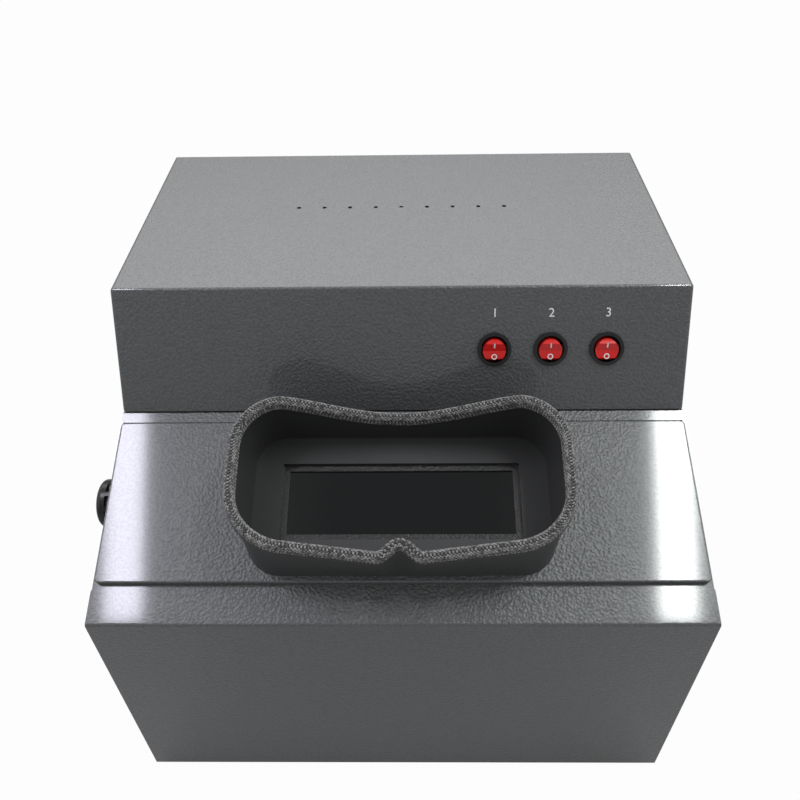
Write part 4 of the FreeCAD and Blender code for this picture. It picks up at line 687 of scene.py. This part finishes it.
# %% Yarn
def yarn(name, dark, light, from_stitches):
    cloth = Finish(name)
    fibre = cloth.noise(cloth.place(), 0.0009, detail=3.0, rough=0.7)
    patch = cloth.noise(cloth.place(), 0.008, detail=2.0)
    share = fibre * 0.8 + patch * 0.4 - 0.2
    if from_stitches:
        share = share + cloth.node("Attribute", {"attribute_name": "lightness"}, 2) * 0.9 - 0.35
    colour = cloth.mix(share.math("ADD", 0, clamp=True), grey(dark), grey(light, 0.01))
    return cloth.set(Base_Color=colour, Roughness=0.95, Sheen_Weight=0.3,
                     Sheen_Roughness=0.5, Normal=cloth.bump(fibre, 0.0002))


section = trim_section()
core = sweep("rim_trim", rim_frames(0.0015), section)
rim_trim = new_piece("rim_trim", core, yarn("yarn_core", 0.02, 0.05, False), "lid")
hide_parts("hood_rim")

stitch_rows = []
turns_over = 11
crown_row = turns_over // 2
for row in range(turns_over):
    if abs(row - crown_row) == 1:
        continue
    turn = math.pi * (row + 0.5) / turns_over
    facing = (math.cos(turn), math.sin(turn))
    lean = math.pi / 2 if row == crown_row else stitch_slant * (-1) ** row
    stitch_rows.append((trim_half * facing[0], trim_top - trim_half + trim_half * facing[1],
                        facing, lean))
for row in range(1, 4):
    level_down = trim_top - trim_half - row * 0.0014
    for side in (1, -1):
        stitch_rows.append((side * trim_half, level_down, (side, 0), side * stitch_slant))
grains = stitch_points("stitch_points", rim_frames(stitch_pitch), stitch_rows)
knit = copies_on(grains, grain_mesh(), (stitch_long, stitch_wide, stitch_wide),
                 yarn("yarn", 0.03, 0.34, True))
stitches = new_piece("rim_stitches", knit, None, "lid")
print(len(knit.polygons), "faces of yarn")

# %% Hem of the trim
hem_radius = 0.0007
hem_sides = 10
hem_section = []
for side in range(hem_sides):
    turn = 2 * math.pi * side / hem_sides
    hem_section.append((trim_half + 0.0001 + hem_radius * math.cos(turn),
                        0.0004 - trim_reach + hem_radius * math.sin(turn), None))
hem = new_piece("rim_hem", sweep("rim_hem", rim_frames(0.0015), hem_section),
                moulded_plastic("hem_binding", grey(0.05), 0.5, 0.0001), "lid")

# %% [markdown]
# The cover's screws are pan heads with a cross recess. The frame's screws are plain, so
# each visible group is made again: the heads sit where the frame's heads end, and the
# same Geometry Nodes group copies one carved head to each place.

# %% Screws
def screw_head_mesh(radius=0.0038, height=0.002, sides=32, rings=12):
    """A domed head with a cross recess, as rings of points round its middle."""
    slot_half = 0.00042
    slot_reach = 0.0019
    slot_depth = 0.0011
    points = [(0, 0, height - slot_depth)]
    for ring in range(1, rings + 1):
        r = radius * ring / rings
        for side in range(sides):
            angle = 2 * math.pi * side / sides
            x, y = r * math.cos(angle), r * math.sin(angle)
            z = height * (1 - 0.45 * (r / radius) ** 4)
            narrow, wide = sorted((abs(x), abs(y)))
            if narrow < slot_half and wide < slot_reach:
                z = height - slot_depth * (1 - 0.6 * wide / slot_reach)
            points.append((x, y, z))
    base = len(points)
    points += [(radius * math.cos(2 * math.pi * k / sides),
                radius * math.sin(2 * math.pi * k / sides), -0.0002) for k in range(sides)]
    faces = [(0, 1 + k, 1 + (k + 1) % sides) for k in range(sides)]
    for ring in range(rings):
        inner, outer = 1 + ring * sides, 1 + (ring + 1) * sides
        for k in range(sides):
            after = (k + 1) % sides
            faces.append((inner + k, outer + k, outer + after, inner + after))
    faces.append(tuple(base + k for k in reversed(range(sides))))
    return mesh_from("screw_head", points, faces)


def screw_seats(node, outward):
    """Where each screw's head is seated and the way it faces, read from the frame."""
    shell = bmesh.new()
    shell.from_mesh(nodes[node].data)
    bmesh.ops.remove_doubles(shell, verts=shell.verts, dist=1e-6)
    unseen = set(shell.verts)
    seats = []
    while unseen:
        group, edge = set(), [unseen.pop()]
        while edge:
            vertex = edge.pop()
            group.add(vertex)
            for link in vertex.link_edges:
                other = link.other_vert(vertex)
                if other in unseen:
                    unseen.discard(other)
                    edge.append(other)
        centre = sum((v.co for v in group), Vector()) / len(group)
        way = outward(centre).normalized()
        top = max(v.co.dot(way) for v in group)
        rim = [v.co for v in group if v.co.dot(way) > top - 1e-4]
        seats.append((sum(rim, Vector()) / len(rim) - way * 0.002, way))
    shell.free()
    return seats


def remake_screws(name, node, body, outward, seed):
    seats = screw_seats(node, outward)
    points = mesh_from(name, [seat for seat, _ in seats], [])
    side = Vector((0.31, 0.44, 0.84))
    for label, ways in (("facing", [way for _, way in seats]),
                        ("lie", [Matrix.Rotation(1.9 * k + seed, 3, way) @ way.cross(side)
                                 for k, (_, way) in enumerate(seats)])):
        attribute = points.attributes.new(label, "FLOAT_VECTOR", "POINT")
        attribute.data.foreach_set("vector", [v for way in ways for v in way])
    mesh = copies_on(points, screw_head_mesh(), (1, 1, 1), screw_steel, seed)
    piece = new_piece(name, mesh, None, body)
    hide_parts(node)
    print(name, "has", len(seats), "heads")


remake_screws("cover_screws", "head_screws", "cabinet",
              lambda c: Vector((1 if c.x > middle_x else -1, 0, 0)), 1)
remake_screws("socket_screws", "inlet_screws", "cabinet", lambda c: Vector((0, 1, 0)), 2)
remake_screws("floor_screws", "front_screws", "cabinet", lambda c: Vector((0, 0, -1)), 3)
remake_screws("foot_fixings", "foot_screws", "cabinet", lambda c: Vector((0, 0, -1)), 4)
remake_screws("frame_fixings", "hood_screws", "lid",
              lambda c: panel_turn(slope_angle) @ Vector((0, 0, -1)), 5)

# %% [markdown]
# Each rocker carries the usual line and ring, and a plain number stands on the panel
# above it. They are thin raised shapes in white ink that ride with what carries them.
# A rocker's two faces are flat and tilted to each other, so a mark lies on one of them:
# its place is found from the rocker's own box in the head's directions.

# %% Printed marks
ink_thick = 0.00006
switch_names = ("1", "2", "3")
switch_up = 0.0429
label_rise = 0.0245
rocker_tilt = math.radians(9)
bezel_thick = 0.002
pivot_depth = 0.006


def switch_across(number):
    low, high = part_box(f"switch_body_{number}")
    return (low.x + high.x) / 2 - middle_x


def flat_letter(text, size):
    """Vertices and faces of a letter that is flat in its own plane and a little thick."""
    curve = bpy.data.curves.new("letter", "FONT")
    curve.body = text
    curve.size = size
    curve.align_x = "CENTER"
    curve.align_y = "CENTER"
    curve.extrude = ink_thick / 2
    holder = bpy.data.objects.new("letter", curve)
    scene.collection.objects.link(holder)
    bpy.context.view_layer.update()
    mesh = bpy.data.meshes.new_from_object(holder)
    bpy.data.objects.remove(holder)
    return mesh


def flat_bar(width, height):
    points = [(x * width / 2, y * height / 2, z * ink_thick / 2)
              for z in (-1, 1) for x, y in ((-1, -1), (1, -1), (1, 1), (-1, 1))]
    faces = [(3, 2, 1, 0), (4, 5, 6, 7)] + [(k, (k + 1) % 4, (k + 1) % 4 + 4, k + 4)
                                            for k in range(4)]
    return mesh_from("bar", points, faces)


def flat_ring(radius, line, sides=32):
    points = []
    for z in (-1, 1):
        for r in (radius - line / 2, radius + line / 2):
            points += [(r * math.cos(2 * math.pi * k / sides), r * math.sin(2 * math.pi * k / sides),
                        z * ink_thick / 2) for k in range(sides)]
    low_in, low_out, high_in, high_out = (sides * k for k in range(4))
    faces = []
    for k in range(sides):
        after = (k + 1) % sides
        for a, b in ((low_out, low_in), (low_in, high_in), (high_in, high_out),
                     (high_out, low_out)):
            faces.append((a + k, b + k, b + after, a + after))
    return mesh_from("ring", points, faces)


def lay(mesh, place):
    """Move a mesh's points to their place and make its faces point outwards."""
    mesh.transform(place)
    shell = bmesh.new()
    shell.from_mesh(mesh)
    bmesh.ops.remove_doubles(shell, verts=shell.verts, dist=1e-7)
    bmesh.ops.recalc_face_normals(shell, faces=shell.faces)
    shell.to_mesh(mesh)
    shell.free()
    return mesh


head_frame = Matrix.Translation(neck) @ panel_turn(head_angle).to_4x4()
for number in (1, 2, 3):
    across = switch_across(number)
    above = head_frame @ Matrix.Translation((across, switch_up + label_rise, ink_thick / 2 + 2e-5))
    new_piece(f"panel_number_{number}", lay(flat_letter(switch_names[number - 1], 0.0085), above),
              white_ink, "cabinet")
    pivot = (head_frame @ Matrix.Translation((across, switch_up, bezel_thick - pivot_depth))
             @ Matrix.Rotation(rocker_tilt, 4, "X"))
    for label, mesh, up, lean in (("line", flat_bar(0.0009, 0.0034), 0.0040, rocker_tilt),
                                  ("ring", flat_ring(0.0016, 0.0007), -0.0040, -rocker_tilt)):
        on_face = (pivot @ Matrix.Translation((0, 0, pivot_depth))
                   @ Matrix.Rotation(lean, 4, "X")
                   @ Matrix.Translation((0, up, ink_thick / 2 + 2e-5)))
        new_piece(f"rocker_{label}_{number}", lay(mesh, on_face), white_ink,
                  f"rocker_{number}")
print("numbers stand", round((switch_up + label_rise) * 1000, 1), "mm up the head")

# %% [markdown]
# The studio is plain. Two small lamps hang high to the left and right, and their
# reflections give the lid its bright, sparkling ends. The room is pale behind and above,
# where the head's top mirrors it, and darker in front, which the head's front mirrors.
# The camera sees it all as white.

# %% Studio
def soft_lamp(name, place, aim, size, watts, colour=(1, 1, 1)):
    light = bpy.data.lights.new(name, "AREA")
    light.shape = "RECTANGLE"
    light.size, light.size_y = size
    light.energy = watts
    light.color = colour
    lamp = bpy.data.objects.new(name, light)
    scene.collection.objects.link(lamp)
    lamp.location = place
    lamp.rotation_euler = (Vector(aim) - Vector(place)).to_track_quat("-Z", "X").to_euler()


lamp_size = (0.1, 0.6)
for name, x, watts, colour in (("left_lamp", -0.785, 4.5, (0.87, 0.86, 1.0)),
                               ("right_lamp", 0.745, 6.5, (0.96, 1.0, 0.99))):
    soft_lamp(name, (x, -0.2, 1.9), (x * 0.15, -0.2, 0.2), lamp_size, watts, colour)

world = bpy.data.worlds.new("room")
scene.world = world
world.use_nodes = True
tree = world.node_tree
background = next(n for n in tree.nodes if n.type == "BACKGROUND")
background.inputs["Color"].default_value = (1, 1, 1, 1)
way = Wire(tree, tree.nodes.new("ShaderNodeTexCoord").outputs["Generated"])
sideways, forward, height = parts_of(tree, way)
seen = Wire(tree, tree.nodes.new("ShaderNodeLightPath").outputs["Is Camera Ray"])
behind = forward.above(0.6, 0.3) * height.above(0.45, 0.25) * 2.2
overhead = height.above(0.75, 0.5) * sideways.math("ABSOLUTE").above(0.25, 0.3) * 0.6
beside = sideways.math("ABSOLUTE").above(0.62, 0.3) * height.above(0.3, 0.4) * 0.9
glow = behind + overhead + beside + 0.34
plug(tree, background.inputs["Strength"], seen + (1 - seen) * glow)
print("room lit")

# %% Floor
floor_half = 3.0
floor_mesh = mesh_from("floor", [(-floor_half, -floor_half, 0), (floor_half, -floor_half, 0),
                                 (floor_half, floor_half, 0), (-floor_half, floor_half, 0)],
                       [(0, 1, 2, 3)])
floor = bpy.data.objects.new("floor", floor_mesh)
scene.collection.objects.link(floor)
pale = Finish("pale_floor")
clouds = pale.noise(pale.place(), 0.4)
pale.set(Base_Color=pale.mix(clouds, grey(0.4), grey(0.44)), Roughness=0.8)
glow = pale.tree.nodes.new("ShaderNodeEmission")
blend = pale.tree.nodes.new("ShaderNodeMixShader")
output = next(n for n in pale.tree.nodes if n.type == "OUTPUT_MATERIAL")
seen = Wire(pale.tree, pale.tree.nodes.new("ShaderNodeLightPath").outputs["Is Camera Ray"])
plug(pale.tree, blend.inputs[0], seen * 0.97)
pale.tree.links.new(pale.shader.outputs[0], blend.inputs[1])
pale.tree.links.new(glow.outputs[0], blend.inputs[2])
pale.tree.links.new(blend.outputs[0], output.inputs[0])
floor_mesh.materials.append(pale.material)
